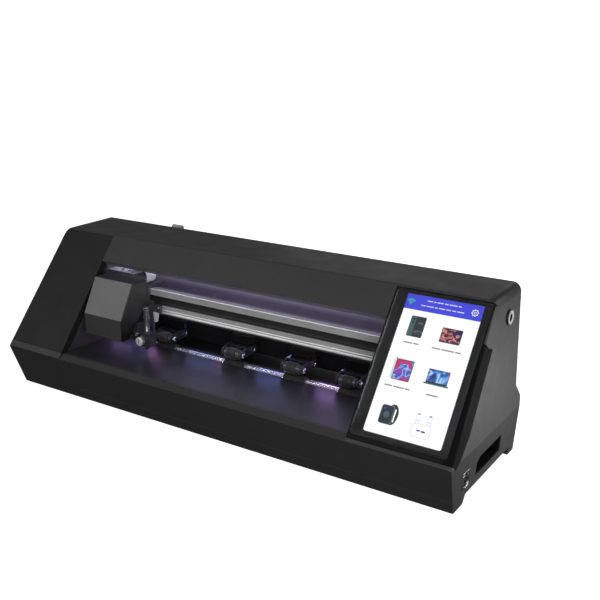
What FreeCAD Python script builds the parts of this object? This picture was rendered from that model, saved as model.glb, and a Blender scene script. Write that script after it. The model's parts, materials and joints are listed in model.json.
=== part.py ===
import FreeCAD, Part
import math
import os

Vector = FreeCAD.Vector

# ---------------------------------------------------------------- driving dimensions (mm)
# Case coordinates: X from the left end, Y from the bottom front edge to the back, Z from the table.
CASE_LENGTH = 456.0
CASE_DEPTH_CENTRE = 56.35
FOOT_PAD = 1.2
WALL = 2.6
NOSE = (-16.3, 42.4)
TOP_FRONT = (61.0, 146.5)
TOP_BACK = (116.3, 149.0)
STEP_TOP = (116.3, 63.9)
STEP_BACK = (128.9, 50.7)
BACK_Y = 129.0
REAR_WALL_Y = 116.3
FRONT_FOOT_Y = 17.1
FOOT_RISE_Y = 20.8
REAR_FOOT_Y = 115.9
BELLY_Z = 8.2
TOP_INSET = 4.33
BASE_INSET = 2.39
TOP_SIDE_RADIUS = 7.5
TOP_FRONT_RADIUS = 2.0

# Lengthwise split of the case
LEFT_CAP_END = 68.0
CENTRE_START = 68.2
CENTRE_END = 370.8
RIGHT_CAP_START = 371.0
BASE_SPLIT_Z = 12.0
SEAM = 0.2

# Front slabs (left cheek and display bezel) and the groove behind them
SLAB_THICKNESS = 8.0
SLAB_TOP = 128.0
SLAB_NOTCH = 95.3
BEZEL_BOTTOM = 3.0
CHEEK_BOTTOM = 6.0
UPPER_SLAB_INSET = 5.1
GROOVE_OUTLINE = [(1.0, 8.0), (3.0, 9.6), (9.0, 12.5), (19.0, 14.7), (30.0, 17.7), (98.0, 17.7), (95.0, 8.0)]
GROOVE_DEPTH = 6.5
POCKET_OUTLINE = [(37.5, 15.3), (90.3, 15.3), (90.3, 30.0), (43.5, 30.0), (37.5, 26.5)]
POCKET_DEPTH = 14.0
LINER = 2.2

# Display
GLASS_X = (372.2, 450.4)
GLASS_S = (6.7, 127.0)
GLASS_THICKNESS = 1.8
MASK_THICKNESS = 0.5
ACTIVE_X = (381.5, 443.75)
ACTIVE_S = (11.9, 124.3)
LCD_BORDER = 1.6
LCD_THICKNESS = 4.0
GLASS_CORNER = 3.0

# Media deck and feed shaft
DECK_TOP = 46.0
DECK_THICKNESS = 2.6
DECK_FRONT_Y = -8.2
DECK_BACK_Y = 126.2
SHAFT_Y = 63.5
SHAFT_Z = 42.3
SHAFT_R = 4.5
SHAFT_X = (56.0, 391.0)
GRIT_R = 6.5
TROUGH_HALF = 7.4
TROUGH_WALL = 2.2
TROUGH_FLOOR_Z = 35.0
SHAFT_SLOT_HALF = 5.3
RUNNING_GAP = 0.05
CLEAR_GAP = 0.3

# Pinch rollers: X of the outer face of each arm's right ear
PINCH_RIGHT = (140.0, 220.8, 285.8, 341.5)
PINCH_WIDTH = 23.0
EAR = 2.0
PINCH_R = 5.2
PINCH_HUB_R = 4.6
PINCH_AXLE_R = 1.5
PINCH_Z = SHAFT_Z + GRIT_R + CLEAR_GAP + PINCH_R
PIVOT_Y = 80.0
PIVOT_Z = 55.0
LIFT_Y = 94.5
LIFT_Z = 62.8
LIFT_R = 2.5
LEVER_X = (90.0, 94.0)
GRIP_X = (88.4, 99.7)
GRIP_YZ = (124.5, 146.9)
GRIP_R = 3.0

# Carriage rail and belt drive
RAIL_X = (67.5, 371.5)
RAIL_Y = (55.0, 63.0)
RAIL_Z = (79.0, 102.5)
BELT_Z = 90.0
BELT_Y = (66.5, 72.5)
BELT_THICKNESS = 1.4
BELT_PULLEY_R = 6.0
IDLER_X = 36.0
MOTOR_X = 398.0
FEED_PULLEY_R = 8.0
FEED_BELT_X = (381.5, 387.5)
FEED_MOTOR_YZ = (100.0, 38.0)
MOTOR_SIZE = 35.0

# Carriage and tool
COVER_X = (71.0, 118.3)
COVER_SHEET = 1.8
TOOL_X = (121.0, 137.5)
TOOL_Y = (30.0, 40.5)
TOOL_Z = (54.4, 67.6)
BLADE_X = 129.6
BLADE_Y = 36.4
BLADE_HOLDER_R = 2.9
SCREW_X = 132.2
SCREW_Z = 61.2
ROD_XS = (88.0, 110.0)
ROD_Y = 41.0
ROD_R = 1.5
RIBBON_Y = (53.2, 65.4)
RIBBON_Z = 114.0
RIBBON_THICKNESS = 0.4

# Connectors and switch on the right housing
JACK_YZ = (89.3, 127.3)
JACK_RING_R = 6.3
JACK_HOLE_R = 2.95
PORT_YZ = (17.0, 21.8)
SWITCH_X = 431.0
SWITCH_Z = 102.5
SWITCH_PIVOT_Y = 108.0

SLOPE_LENGTH = math.hypot(TOP_FRONT[0] - NOSE[0], TOP_FRONT[1] - NOSE[1])
SLOPE_Y = (TOP_FRONT[0] - NOSE[0]) / SLOPE_LENGTH
SLOPE_Z = (TOP_FRONT[1] - NOSE[1]) / SLOPE_LENGTH


# ---------------------------------------------------------------- shape helpers
def slope_point(along, depth):
    """A point (y, z) a distance up the sloping front and a depth behind it."""
    y = NOSE[0] + SLOPE_Y * along + SLOPE_Z * depth
    z = NOSE[1] + SLOPE_Z * along - SLOPE_Y * depth
    return (y, z)


def box(x0, x1, y0, y1, z0, z1):
    return Part.makeBox(x1 - x0, y1 - y0, z1 - z0, Vector(x0, y0, z0))


def cyl_x(x0, x1, y, z, radius):
    return Part.makeCylinder(radius, x1 - x0, Vector(x0, y, z), Vector(1, 0, 0))


def cyl_y(x, y0, y1, z, radius):
    return Part.makeCylinder(radius, y1 - y0, Vector(x, y0, z), Vector(0, 1, 0))


def cyl_z(x, y, z0, z1, radius):
    return Part.makeCylinder(radius, z1 - z0, Vector(x, y, z0), Vector(0, 0, 1))


def prism(points, direction):
    wire = Part.makePolygon(points + [points[0]])
    return Part.Face(wire).extrude(direction)


def prism_x(outline, x0, x1):
    """Extrude a (y, z) outline along X."""
    points = [Vector(x0, y, z) for y, z in outline]
    return prism(points, Vector(x1 - x0, 0, 0))


def prism_y(outline, y0, y1):
    """Extrude an (x, z) outline along Y."""
    points = [Vector(x, y0, z) for x, z in outline]
    return prism(points, Vector(0, y1 - y0, 0))


def prism_z(outline, z0, z1):
    """Extrude an (x, y) outline along Z."""
    points = [Vector(x, y, z0) for x, y in outline]
    return prism(points, Vector(0, 0, z1 - z0))


def slab(s0, s1, d0, d1, x0, x1):
    """A block parallel to the sloping front."""
    corners = [(s0, d0), (s1, d0), (s1, d1), (s0, d1)]
    return prism_x([slope_point(s, d) for s, d in corners], x0, x1)


def fuse(shapes):
    result = shapes[0]
    for shape in shapes[1:]:
        result = result.fuse(shape)
    return result.removeSplitter()


def cut(shape, tools):
    for tool in tools:
        shape = shape.cut(tool)
    return shape


def group(shapes):
    return Part.makeCompound(shapes)


def grow(outline, distance):
    """Offset a closed (y, z) outline outwards (or inwards when negative)."""
    area = 0.0
    count = len(outline)
    for i in range(count):
        y0, z0 = outline[i]
        y1, z1 = outline[(i + 1) % count]
        area += y0 * z1 - y1 * z0
    side = distance if area > 0 else -distance
    lines = []
    for i in range(count):
        y0, z0 = outline[i]
        y1, z1 = outline[(i + 1) % count]
        length = math.hypot(y1 - y0, z1 - z0)
        ny = (z1 - z0) / length
        nz = -(y1 - y0) / length
        lines.append((ny, nz, ny * y0 + nz * z0 + side))
    result = []
    for i in range(count):
        a0, b0, c0 = lines[i - 1]
        a1, b1, c1 = lines[i]
        det = a0 * b1 - a1 * b0
        result.append(((c0 * b1 - c1 * b0) / det, (a0 * c1 - a1 * c0) / det))
    return result


def mirror_ends(shape):
    """The same shape at the other end of the machine."""
    return shape.mirror(Vector(CASE_LENGTH / 2.0, 0, 0), Vector(1, 0, 0))


def edges_near(shape, points, tolerance=0.6):
    found = []
    for edge in shape.Edges:
        middle = edge.valueAt((edge.FirstParameter + edge.LastParameter) / 2.0)
        if any(middle.distanceToPoint(point) < tolerance for point in points):
            found.append(edge)
    return found


# ---------------------------------------------------------------- case envelope
def case_outline():
    foot_y = NOSE[0] * FOOT_PAD / NOSE[1]
    return [
        (foot_y, FOOT_PAD), NOSE, TOP_FRONT, TOP_BACK, STEP_TOP, STEP_BACK,
        (BACK_Y, FOOT_PAD), (REAR_FOOT_Y, FOOT_PAD), (REAR_FOOT_Y, BELLY_Z),
        (FOOT_RISE_Y, BELLY_Z), (FRONT_FOOT_Y, FOOT_PAD),
    ]


def side_wedges(inset):
    """The two wedges that give the end face its taper above and below the nose."""
    top = 170.0
    bottom = -2.0
    upper = TOP_INSET * (top - NOSE[1]) / (TOP_FRONT[1] - NOSE[1])
    lower = BASE_INSET * (NOSE[1] - bottom) / NOSE[1]
    reach = (-40.0, 160.0)
    above = [(-20.0, NOSE[1]), (inset, NOSE[1]), (inset + upper, top), (-20.0, top)]
    below = [(-20.0, NOSE[1]), (-20.0, bottom), (inset + lower, bottom), (inset, NOSE[1])]
    return prism_y(above, *reach), prism_y(below, *reach)


def envelope(inset):
    outline = case_outline()
    if inset > 0:
        outline = grow(outline, -inset)
    solid = prism_x(outline, inset, CASE_LENGTH - inset)
    for wedge in side_wedges(inset):
        solid = solid.cut(wedge)
        solid = solid.cut(mirror_ends(wedge))
    return solid


def rounded_envelope():
    solid = envelope(0.0)
    top_y = (TOP_FRONT[0] + TOP_BACK[0]) / 2.0
    top_z = (TOP_FRONT[1] + TOP_BACK[1]) / 2.0
    side_points = [Vector(x, top_y, top_z) for x in (TOP_INSET, CASE_LENGTH - TOP_INSET)]
    solid = solid.makeFillet(TOP_SIDE_RADIUS, edges_near(solid, side_points))
    front_edge = [Vector(CASE_LENGTH / 2.0, TOP_FRONT[0], TOP_FRONT[1])]
    return solid.makeFillet(TOP_FRONT_RADIUS, edges_near(solid, front_edge))


def right_slab_region(bottom, margin):
    start = RIGHT_CAP_START - margin
    low = slab(bottom - margin, SLAB_NOTCH + margin, -8.0, SLAB_THICKNESS, start, CASE_LENGTH + 5.0)
    high_end = CASE_LENGTH - UPPER_SLAB_INSET + margin
    high = slab(SLAB_NOTCH - 1.0, SLAB_TOP + margin, -8.0, SLAB_THICKNESS, start, high_end)
    return fuse([low, high])


def groove(extra):
    outline = [slope_point(s, d) for s, d in GROOVE_OUTLINE]
    if extra > 0:
        outline = grow(outline, extra)
    return prism_x(outline, CASE_LENGTH - GROOVE_DEPTH - extra, CASE_LENGTH + 5.0)


def grip_pocket(extra):
    outline = POCKET_OUTLINE
    if extra > 0:
        outline = grow(outline, extra)
    return prism_x(outline, CASE_LENGTH - POCKET_DEPTH - extra, CASE_LENGTH + 5.0)


def right_end_shell(outer, inner, slab_bottom):
    """One hollow housing at the right end, open towards the middle of the machine."""
    keep = box(RIGHT_CAP_START, CASE_LENGTH + 1.0, -30.0, 140.0, BASE_SPLIT_Z, 160.0)
    body = outer.common(keep)
    body = cut(body, [right_slab_region(slab_bottom, SEAM), groove(0.0), grip_pocket(0.0)])
    hollow = inner.common(box(RIGHT_CAP_START - 1.0, CASE_LENGTH, -30.0, 140.0, BASE_SPLIT_Z - 1.0, 160.0))
    hollow = hollow.cut(slab(-40.0, 170.0, -30.0, SLAB_THICKNESS + WALL, 300.0, CASE_LENGTH + 5.0))
    hollow = cut(hollow, [groove(LINER), grip_pocket(LINER)])
    return body.cut(hollow)


def left_cheek(outer):
    region = mirror_ends(right_slab_region(CHEEK_BOTTOM, 0.0))
    region = region.common(box(-5.0, LEFT_CAP_END, -60.0, 160.0, 0.0, 200.0))
    return outer.common(region)


def left_end_cap(outer, inner):
    shell = mirror_ends(right_end_shell(outer, inner, CHEEK_BOTTOM))
    return shell.common(box(-1.0, LEFT_CAP_END, -30.0, 140.0, 0.0, 160.0))


def switch_housing():
    outside = box(SWITCH_X - 7.6, SWITCH_X + 7.6, 103.0, REAR_WALL_Y - WALL, SWITCH_Z - 13.0, SWITCH_Z + 13.0)
    inside = box(SWITCH_X - 6.3, SWITCH_X + 6.3, 104.2, REAR_WALL_Y, SWITCH_Z - 11.6, SWITCH_Z + 11.6)
    return outside, inside


def right_end_cap(outer, inner):
    shell = right_end_shell(outer, inner, BEZEL_BOTTOM)
    outside, inside = switch_housing()
    shell = fuse([shell, outside])
    pin_hole = cyl_x(SWITCH_X - 10.0, SWITCH_X + 10.0, SWITCH_PIVOT_Y, SWITCH_Z, 1.2 + RUNNING_GAP)
    window = box(SWITCH_X - 6.3, SWITCH_X + 6.3, 104.2, REAR_WALL_Y + 5.0, SWITCH_Z - 11.6, SWITCH_Z + 11.6)
    jack_hole = cyl_x(445.0, CASE_LENGTH + 5.0, JACK_YZ[0], JACK_YZ[1], 5.6)
    port_y, port_z = PORT_YZ
    port_hole = box(445.0, CASE_LENGTH + 5.0, port_y - 6.7, port_y + 6.7, port_z - 7.1, port_z + 7.1)
    cable_hole = slab(50.0, 80.0, SLAB_THICKNESS - 1.0, SLAB_THICKNESS + WALL + 1.0, 395.0, 430.0)
    return cut(shell, [window, pin_hole, jack_hole, port_hole, cable_hole])


# ---------------------------------------------------------------- display
def rounded_slab(x_range, s_range, d0, d1, radius):
    plate = slab(s_range[0], s_range[1], d0, d1, x_range[0], x_range[1])
    middle = (d0 + d1) / 2.0
    points = []
    for x in x_range:
        for s in s_range:
            y, z = slope_point(s, middle)
            points.append(Vector(x, y, z))
    return plate.makeFillet(radius, edges_near(plate, points, 0.1))


def display_bezel(outer):
    body = outer.common(right_slab_region(BEZEL_BOTTOM, 0.0))
    depth = GLASS_THICKNESS + MASK_THICKNESS
    glass_pocket = rounded_slab(GLASS_X, GLASS_S, -8.0, depth, GLASS_CORNER)
    lcd_x = (ACTIVE_X[0] - LCD_BORDER - 0.3, ACTIVE_X[1] + LCD_BORDER + 0.3)
    lcd_s = (ACTIVE_S[0] - LCD_BORDER - 0.3, ACTIVE_S[1] + LCD_BORDER + 0.3)
    lcd_pocket = slab(lcd_s[0], lcd_s[1], depth - 0.1, SLAB_THICKNESS + 1.0, lcd_x[0], lcd_x[1])
    return cut(body, [glass_pocket, lcd_pocket])


def cover_glass():
    x_range = (GLASS_X[0] + 0.1, GLASS_X[1] - 0.1)
    s_range = (GLASS_S[0] + 0.1, GLASS_S[1] - 0.1)
    return rounded_slab(x_range, s_range, 0.0, GLASS_THICKNESS, GLASS_CORNER)


def display_mask():
    x_range = (GLASS_X[0] + 0.1, GLASS_X[1] - 0.1)
    s_range = (GLASS_S[0] + 0.1, GLASS_S[1] - 0.1)
    d0 = GLASS_THICKNESS
    d1 = GLASS_THICKNESS + MASK_THICKNESS
    plate = rounded_slab(x_range, s_range, d0, d1, GLASS_CORNER)
    return plate.cut(slab(ACTIVE_S[0], ACTIVE_S[1], d0 - 1.0, d1 + 1.0, ACTIVE_X[0], ACTIVE_X[1]))


def lcd_panel():
    d0 = GLASS_THICKNESS + MASK_THICKNESS
    x0 = ACTIVE_X[0] - LCD_BORDER
    x1 = ACTIVE_X[1] + LCD_BORDER
    return slab(ACTIVE_S[0] - LCD_BORDER, ACTIVE_S[1] + LCD_BORDER, d0, d0 + LCD_THICKNESS, x0, x1)


# ---------------------------------------------------------------- centre covers and deck
def base_pan(outer, inner):
    shell = outer.cut(inner)
    pan = shell.common(box(-1.0, CASE_LENGTH + 1.0, -30.0, 140.0, 0.0, BASE_SPLIT_Z - 0.05))
    rear_wall = box(CENTRE_START, CENTRE_END, BACK_Y - WALL, BACK_Y, BASE_SPLIT_Z - 1.0, DECK_TOP)
    return fuse([pan, rear_wall])


def front_fascia():
    def front_y(z):
        return NOSE[0] * z / NOSE[1]
    top = NOSE[1] - SEAM
    outline = [
        (front_y(BASE_SPLIT_Z), BASE_SPLIT_Z), (front_y(top), top),
        (DECK_FRONT_Y, top), (DECK_FRONT_Y, top - 2.0),
        (front_y(top) + WALL + 0.8, top - 2.0), (front_y(BASE_SPLIT_Z) + WALL, BASE_SPLIT_Z),
    ]
    return prism_x(outline, CENTRE_START, CENTRE_END)


def deck_trim():
    outline = [NOSE, (-10.5, DECK_TOP), (DECK_FRONT_Y, DECK_TOP), (DECK_FRONT_Y, NOSE[1])]
    return prism_x(outline, CENTRE_START, CENTRE_END)


def grit_span(right):
    return right - 19.0, right + 2.0


def deck_plate():
    plate = box(CENTRE_START, CENTRE_END, DECK_FRONT_Y, DECK_BACK_Y, DECK_TOP - DECK_THICKNESS, DECK_TOP)
    half = TROUGH_HALF + TROUGH_WALL
    floor = TROUGH_FLOOR_Z - TROUGH_WALL
    trough = box(CENTRE_START, CENTRE_END, SHAFT_Y - half, SHAFT_Y + half, floor, DECK_TOP - 1.0)
    body = fuse([plate, trough])
    channel = box(60.0, 380.0, SHAFT_Y - TROUGH_HALF, SHAFT_Y + TROUGH_HALF,
                  TROUGH_FLOOR_Z, DECK_TOP - DECK_THICKNESS)
    slot = box(60.0, 380.0, SHAFT_Y - SHAFT_SLOT_HALF, SHAFT_Y + SHAFT_SLOT_HALF, TROUGH_FLOOR_Z, DECK_TOP + 1.0)
    tools = [channel, slot]
    for right in PINCH_RIGHT:
        x0, x1 = grit_span(right)
        tools.append(box(x0 - 0.8, x1 + 0.8, SHAFT_Y - TROUGH_HALF, SHAFT_Y + TROUGH_HALF,
                         TROUGH_FLOOR_Z, DECK_TOP + 1.0))
    return cut(body, tools)


def top_cover():
    outline = [
        slope_point(101.5, 0.0), TOP_FRONT, TOP_BACK, (REAR_WALL_Y, 145.8),
        (REAR_WALL_Y - WALL, 145.8), (REAR_WALL_Y - WALL, 146.2), (62.4, 143.8),
        slope_point(103.7, WALL), slope_point(103.7, 9.0), slope_point(101.5, 9.0),
    ]
    body = prism_x(outline, CENTRE_START, CENTRE_END)
    edge = [Vector((CENTRE_START + CENTRE_END) / 2.0, TOP_FRONT[0], TOP_FRONT[1])]
    return body.makeFillet(TOP_FRONT_RADIUS, edges_near(body, edge))


def rear_cover():
    plate = box(CENTRE_START, CENTRE_END, REAR_WALL_Y - WALL, REAR_WALL_Y, STEP_TOP[1], 145.6)
    lever_slot = box(LEVER_X[0] - 1.6, LEVER_X[1] + 1.6, 110.0, 120.0, 60.0, 92.0)
    tools = [lever_slot]
    vent_count = 14
    for i in range(vent_count):
        x = 200.0 + 9.0 * i
        tools.append(box(x, x + 3.0, 110.0, 120.0, 104.0, 130.0))
    return cut(plate, tools)


def inner_back_wall():
    plate = box(CENTRE_START, CENTRE_END, 103.0, 105.0, 68.0, 143.0)
    lever_slot = box(LEVER_X[0] - 1.6, LEVER_X[1] + 1.6, 100.0, 108.0, 60.0, 82.0)
    return plate.cut(lever_slot)


# ---------------------------------------------------------------- frame and rail
def frame_plate_outline(inner):
    region = inner.cut(slab(-40.0, 170.0, -30.0, SLAB_THICKNESS + WALL + 0.4, -5.0, CASE_LENGTH + 5.0))
    return region.common(box(0.0, CASE_LENGTH, -30.0, 140.0, BASE_SPLIT_Z, 160.0))


def plate_holes(x0, x1):
    return [
        cyl_x(x0, x1, SHAFT_Y, SHAFT_Z, 8.0),
        cyl_x(x0, x1, LIFT_Y, LIFT_Z, LIFT_R + RUNNING_GAP),
        box(x0, x1, BELT_Y[0] - 2.0, BELT_Y[1] + 2.4, BELT_Z - 10.0, BELT_Z + 10.0),
    ]


def left_frame_plate(inner_tight):
    plate = frame_plate_outline(inner_tight).common(box(65.5, 67.5, -30.0, 140.0, 0.0, 160.0))
    ribbon_slot = box(60.0, 70.0, RIBBON_Y[0] - 0.5, RIBBON_Y[1] + 0.5, RIBBON_Z - 0.8, RIBBON_Z + 0.8)
    return cut(plate, plate_holes(60.0, 70.0) + [ribbon_slot])


def right_frame_plate(inner_tight):
    plate = frame_plate_outline(inner_tight).common(box(371.5, 373.5, -30.0, 140.0, 0.0, 160.0))
    flange = box(373.0, 416.0, 74.2, 76.0, 72.0, 108.0)
    plate = cut(plate, plate_holes(365.0, 373.6))
    return cut(fuse([plate, flange]), [cyl_y(MOTOR_X, 70.0, 80.0, BELT_Z, 9.0)])


def carriage_rail():
    y0, y1 = RAIL_Y
    z0, z1 = RAIL_Z
    outline = [
        (y0, z1), (y1, z1), (y1, 98.0), (60.0, 98.0), (60.0, 84.5), (y1, 84.5), (y1, z0),
        (54.2, z0), (54.2, 81.4), (y0, 82.2), (y0, 89.0), (57.6, 89.8), (57.6, 95.2), (y0, 96.0),
    ]
    return prism_x(outline, RAIL_X[0], RAIL_X[1])


def shaft_bearings():
    rings = []
    for x0, x1 in ((63.0, 67.5), (371.5, 376.0)):
        ring = cyl_x(x0, x1, SHAFT_Y, SHAFT_Z, 8.0)
        rings.append(ring.cut(cyl_x(x0 - 1.0, x1 + 1.0, SHAFT_Y, SHAFT_Z, SHAFT_R + RUNNING_GAP)))
    return group(rings)


# ---------------------------------------------------------------- feed shaft and rollers
def drive_shaft():
    return cyl_x(SHAFT_X[0], SHAFT_X[1], SHAFT_Y, SHAFT_Z, SHAFT_R)


def grit_rollers():
    sleeves = []
    for right in PINCH_RIGHT:
        x0, x1 = grit_span(right)
        sleeve = cyl_x(x0, x1, SHAFT_Y, SHAFT_Z, GRIT_R)
        sleeves.append(sleeve.cut(cyl_x(x0 - 1.0, x1 + 1.0, SHAFT_Y, SHAFT_Z, SHAFT_R)))
    return group(sleeves)


def pulley_x(x0, x1, y, z, radius, bore):
    rim = radius + 1.3
    body = fuse([cyl_x(x0, x1, y, z, radius), cyl_x(x0, x0 + 1.0, y, z, rim), cyl_x(x1 - 1.0, x1, y, z, rim)])
    return body.cut(cyl_x(x0 - 1.0, x1 + 1.0, y, z, bore))


def shaft_pulley():
    return pulley_x(FEED_BELT_X[0] - 1.5, FEED_BELT_X[1] + 1.5, SHAFT_Y, SHAFT_Z, FEED_PULLEY_R, SHAFT_R)


def feed_pulley():
    y, z = FEED_MOTOR_YZ
    wheel = pulley_x(FEED_BELT_X[0] - 1.5, FEED_BELT_X[1] + 1.5, y, z, FEED_PULLEY_R, 2.5)
    return fuse([wheel, cyl_x(378.0, 404.0, y, z, 2.5)])


def feed_motor():
    y, z = FEED_MOTOR_YZ
    half = MOTOR_SIZE / 2.0
    corner = 3.0
    outline = [
        (y - half + corner, z - half), (y + half - corner, z - half), (y + half, z - half + corner),
        (y + half, z + half - corner), (y + half - corner, z + half), (y - half + corner, z + half),
        (y - half, z + half - corner), (y - half, z - half + corner),
    ]
    body = fuse([prism_x(outline, 394.0, 426.0), cyl_x(392.2, 395.0, y, z, 11.0)])
    return body.cut(cyl_x(390.0, 404.4, y, z, 2.5 + RUNNING_GAP))


def racetrack(centres, radius, axis, start, width):
    """A closed belt around two equal pulleys; centres are points in the plane across the axis."""
    direction = Vector(*axis)
    first, second = [Vector(*c) for c in centres]
    along = second.sub(first).normalize()
    side = direction.cross(along)
    loops = []
    for r in (radius + BELT_THICKNESS, radius):
        ends = [Part.makeCylinder(r, width, c.add(direction * start), direction) for c in (first, second)]
        a = first.add(side * r)
        b = second.add(side * r)
        c = second.sub(side * r)
        d = first.sub(side * r)
        corners = [p.add(direction * start) for p in (a, b, c, d)]
        middle = prism(corners, direction * width)
        loops.append(fuse([middle] + ends))
    return loops[0].cut(loops[1])


def feed_belt():
    y, z = FEED_MOTOR_YZ
    centres = ((0, SHAFT_Y, SHAFT_Z), (0, y, z))
    width = FEED_BELT_X[1] - FEED_BELT_X[0]
    return racetrack(centres, FEED_PULLEY_R + CLEAR_GAP, (1, 0, 0), FEED_BELT_X[0], width)


# ---------------------------------------------------------------- pinch units
def pinch_arm(right):
    left = right - PINCH_WIDTH
    ear = [(60.1, 52.0), (60.1, 56.4), (62.6, 58.0), (69.0, 60.2), (83.5, 60.2), (83.5, 52.6), (66.0, 51.4)]
    parts = [prism_x(ear, left, left + EAR), prism_x(ear, right - EAR, right)]
    parts.append(box(left + EAR - 0.5, right - EAR + 0.5, 69.0, 74.5, 57.8, 60.2))
    parts.append(box(left - 2.0, left + EAR, 83.0, LIFT_Y + 8.0, 54.0, 57.0))
    body = fuse(parts)
    body = body.cut(cyl_x(left - 3.0, right + 1.0, PIVOT_Y, PIVOT_Z, PINCH_AXLE_R + RUNNING_GAP))
    return fuse([body, cyl_x(left - 0.8, right + 0.8, SHAFT_Y, PINCH_Z, PINCH_AXLE_R)])


def pinch_roller(right):
    x0 = right - PINCH_WIDTH + EAR + 0.3
    x1 = right - EAR - 0.3
    hub = cyl_x(x0, x1, SHAFT_Y, PINCH_Z, PINCH_HUB_R)
    tread = cyl_x(x0 + 4.2, x1 - 4.8, SHAFT_Y, PINCH_Z, PINCH_R)
    body = fuse([hub, tread])
    return body.cut(cyl_x(x0 - 1.0, x1 + 1.0, SHAFT_Y, PINCH_Z, PINCH_AXLE_R + RUNNING_GAP))


def pinch_beam():
    beam = box(RAIL_X[0], RAIL_X[1], 88.0, 90.0, 49.5, 80.0)
    tongue_slots = [box(right - PINCH_WIDTH - 3.5, right - PINCH_WIDTH + 3.5, 87.0, 91.0, 45.0, 61.5)
                    for right in PINCH_RIGHT]
    parts = [cut(beam, tongue_slots)]
    for right in PINCH_RIGHT:
        left = right - PINCH_WIDTH
        parts.append(box(left - 1.0, right + 1.0, 77.0, 88.0, 61.5, 67.5))
        parts.append(box(left + 3.0, right - 3.0, 76.5, 84.0, 51.5, 62.0))
    body = fuse(parts)
    return body.cut(cyl_x(60.0, 380.0, PIVOT_Y, PIVOT_Z, PINCH_AXLE_R))


def pinch_pivot_pins():
    pins = []
    for right in PINCH_RIGHT:
        pins.append(cyl_x(right - PINCH_WIDTH - 1.0, right + 1.0, PIVOT_Y, PIVOT_Z, PINCH_AXLE_R))
    return group(pins)


def lift_shaft():
    parts = [cyl_x(63.0, 376.0, LIFT_Y, LIFT_Z, LIFT_R)]
    for right in PINCH_RIGHT:
        left = right - PINCH_WIDTH
        parts.append(cyl_x(left - 3.0, left + 3.0, LIFT_Y, LIFT_Z, 4.2))
        parts.append(box(left - 3.0, left + 3.0, LIFT_Y, LIFT_Y + 7.5, 57.4, 61.4))
    return fuse(parts)


def lift_lever():
    arm = [
        (91.6, 59.4), (97.5, 59.0), (121.5, 74.0), (125.5, 80.0), (126.5, 147.0),
        (122.5, 147.0), (120.0, 84.0), (117.6, 80.4), (92.6, 67.4), (90.4, 64.0),
    ]
    lever = prism_x(arm, LEVER_X[0], LEVER_X[1])
    grip = cyl_x(GRIP_X[0], GRIP_X[1], GRIP_YZ[0], GRIP_YZ[1], GRIP_R)
    return fuse([lever, grip]).cut(cyl_x(80.0, 100.0, LIFT_Y, LIFT_Z, LIFT_R))


# ---------------------------------------------------------------- carriage drive
def carriage_motor():
    half = MOTOR_SIZE / 2.0
    corner = 3.0
    x = MOTOR_X
    z = BELT_Z
    outline = [
        (x - half + corner, z - half), (x + half - corner, z - half), (x + half, z - half + corner),
        (x + half, z + half - corner), (x + half - corner, z + half), (x - half + corner, z + half),
        (x - half, z + half - corner), (x - half, z - half + corner),
    ]
    body = prism_y(outline, 76.0, 106.0)
    return body.cut(cyl_y(x, 75.0, 86.4, z, 2.5 + RUNNING_GAP))


def pulley_y(x, bore):
    y0 = BELT_Y[0] - 1.5
    y1 = BELT_Y[1] + 1.5
    rim = BELT_PULLEY_R + 1.2
    parts = [cyl_y(x, y0, y1, BELT_Z, BELT_PULLEY_R)]
    parts.append(cyl_y(x, y0, y0 + 1.0, BELT_Z, rim))
    parts.append(cyl_y(x, y1 - 1.0, y1, BELT_Z, rim))
    return fuse(parts).cut(cyl_y(x, y0 - 1.0, y1 + 1.0, BELT_Z, bore))


def belt_drive_pulley():
    return fuse([pulley_y(MOTOR_X, 2.5), cyl_y(MOTOR_X, 63.5, 86.0, BELT_Z, 2.5)])


def idler_bracket():
    tab = box(28.0, 65.5, 75.0, 77.0, 82.0, 98.0)
    foot = box(63.5, 65.5, 77.0, 86.0, 82.0, 98.0)
    pin = cyl_y(IDLER_X, 63.5, 75.5, BELT_Z, 2.0)
    return fuse([tab, foot, pin])


def carriage_belt():
    centres = ((IDLER_X, 0, BELT_Z), (MOTOR_X, 0, BELT_Z))
    width = BELT_Y[1] - BELT_Y[0]
    return racetrack(centres, BELT_PULLEY_R + CLEAR_GAP, (0, 1, 0), BELT_Y[0], width)


# ---------------------------------------------------------------- carriage
def carriage_block():
    front = box(74.0, 119.0, 50.6, 53.9, 75.6, 106.0)
    tab = box(119.0, 133.8, 50.6, 53.6, 81.5, 89.0)
    column = box(118.9, 125.2, 50.6, 52.6, 56.0, 92.0)
    over = box(74.0, 119.0, 50.6, 75.0, 102.9, 106.0)
    drop = box(74.0, 119.0, 63.4, 65.8, 98.6, 103.5)
    under = box(74.0, 119.0, 50.6, 65.8, 75.6, 78.6)
    rise = box(74.0, 119.0, 63.4, 65.8, 78.0, 83.6)
    jaw_top = box(86.0, 104.0, 66.2, 75.0, 98.1, 103.5)
    jaw_side = box(86.0, 104.0, 73.0, 75.0, 92.0, 99.0)
    jaw_low = box(86.0, 104.0, 66.2, 74.0, 92.0, 95.9)
    parts = [front, tab, column, over, drop, under, rise, jaw_top, jaw_side, jaw_low]
    for z0, z1 in ((57.0, 60.0), (98.0, 101.0)):
        parts.append(box(82.0, 116.0, ROD_Y - 3.5, 51.0, z0, z1))
    parts.append(box(82.0, 116.0, 48.2, 51.0, 57.0, 80.0))
    for x in ROD_XS:
        parts.append(cyl_z(x, ROD_Y, 58.0, 100.0, ROD_R))
    return fuse(parts)


def cover_side_outline():
    return [
        (15.0, 59.8), (15.0, 79.6), (31.0, 111.8), (50.2, 111.8), (50.2, 90.0), (48.6, 86.6),
        (44.0, 83.6), (38.0, 76.5), (31.0, 66.5), (25.0, 60.9), (22.0, 59.8),
    ]


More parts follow.
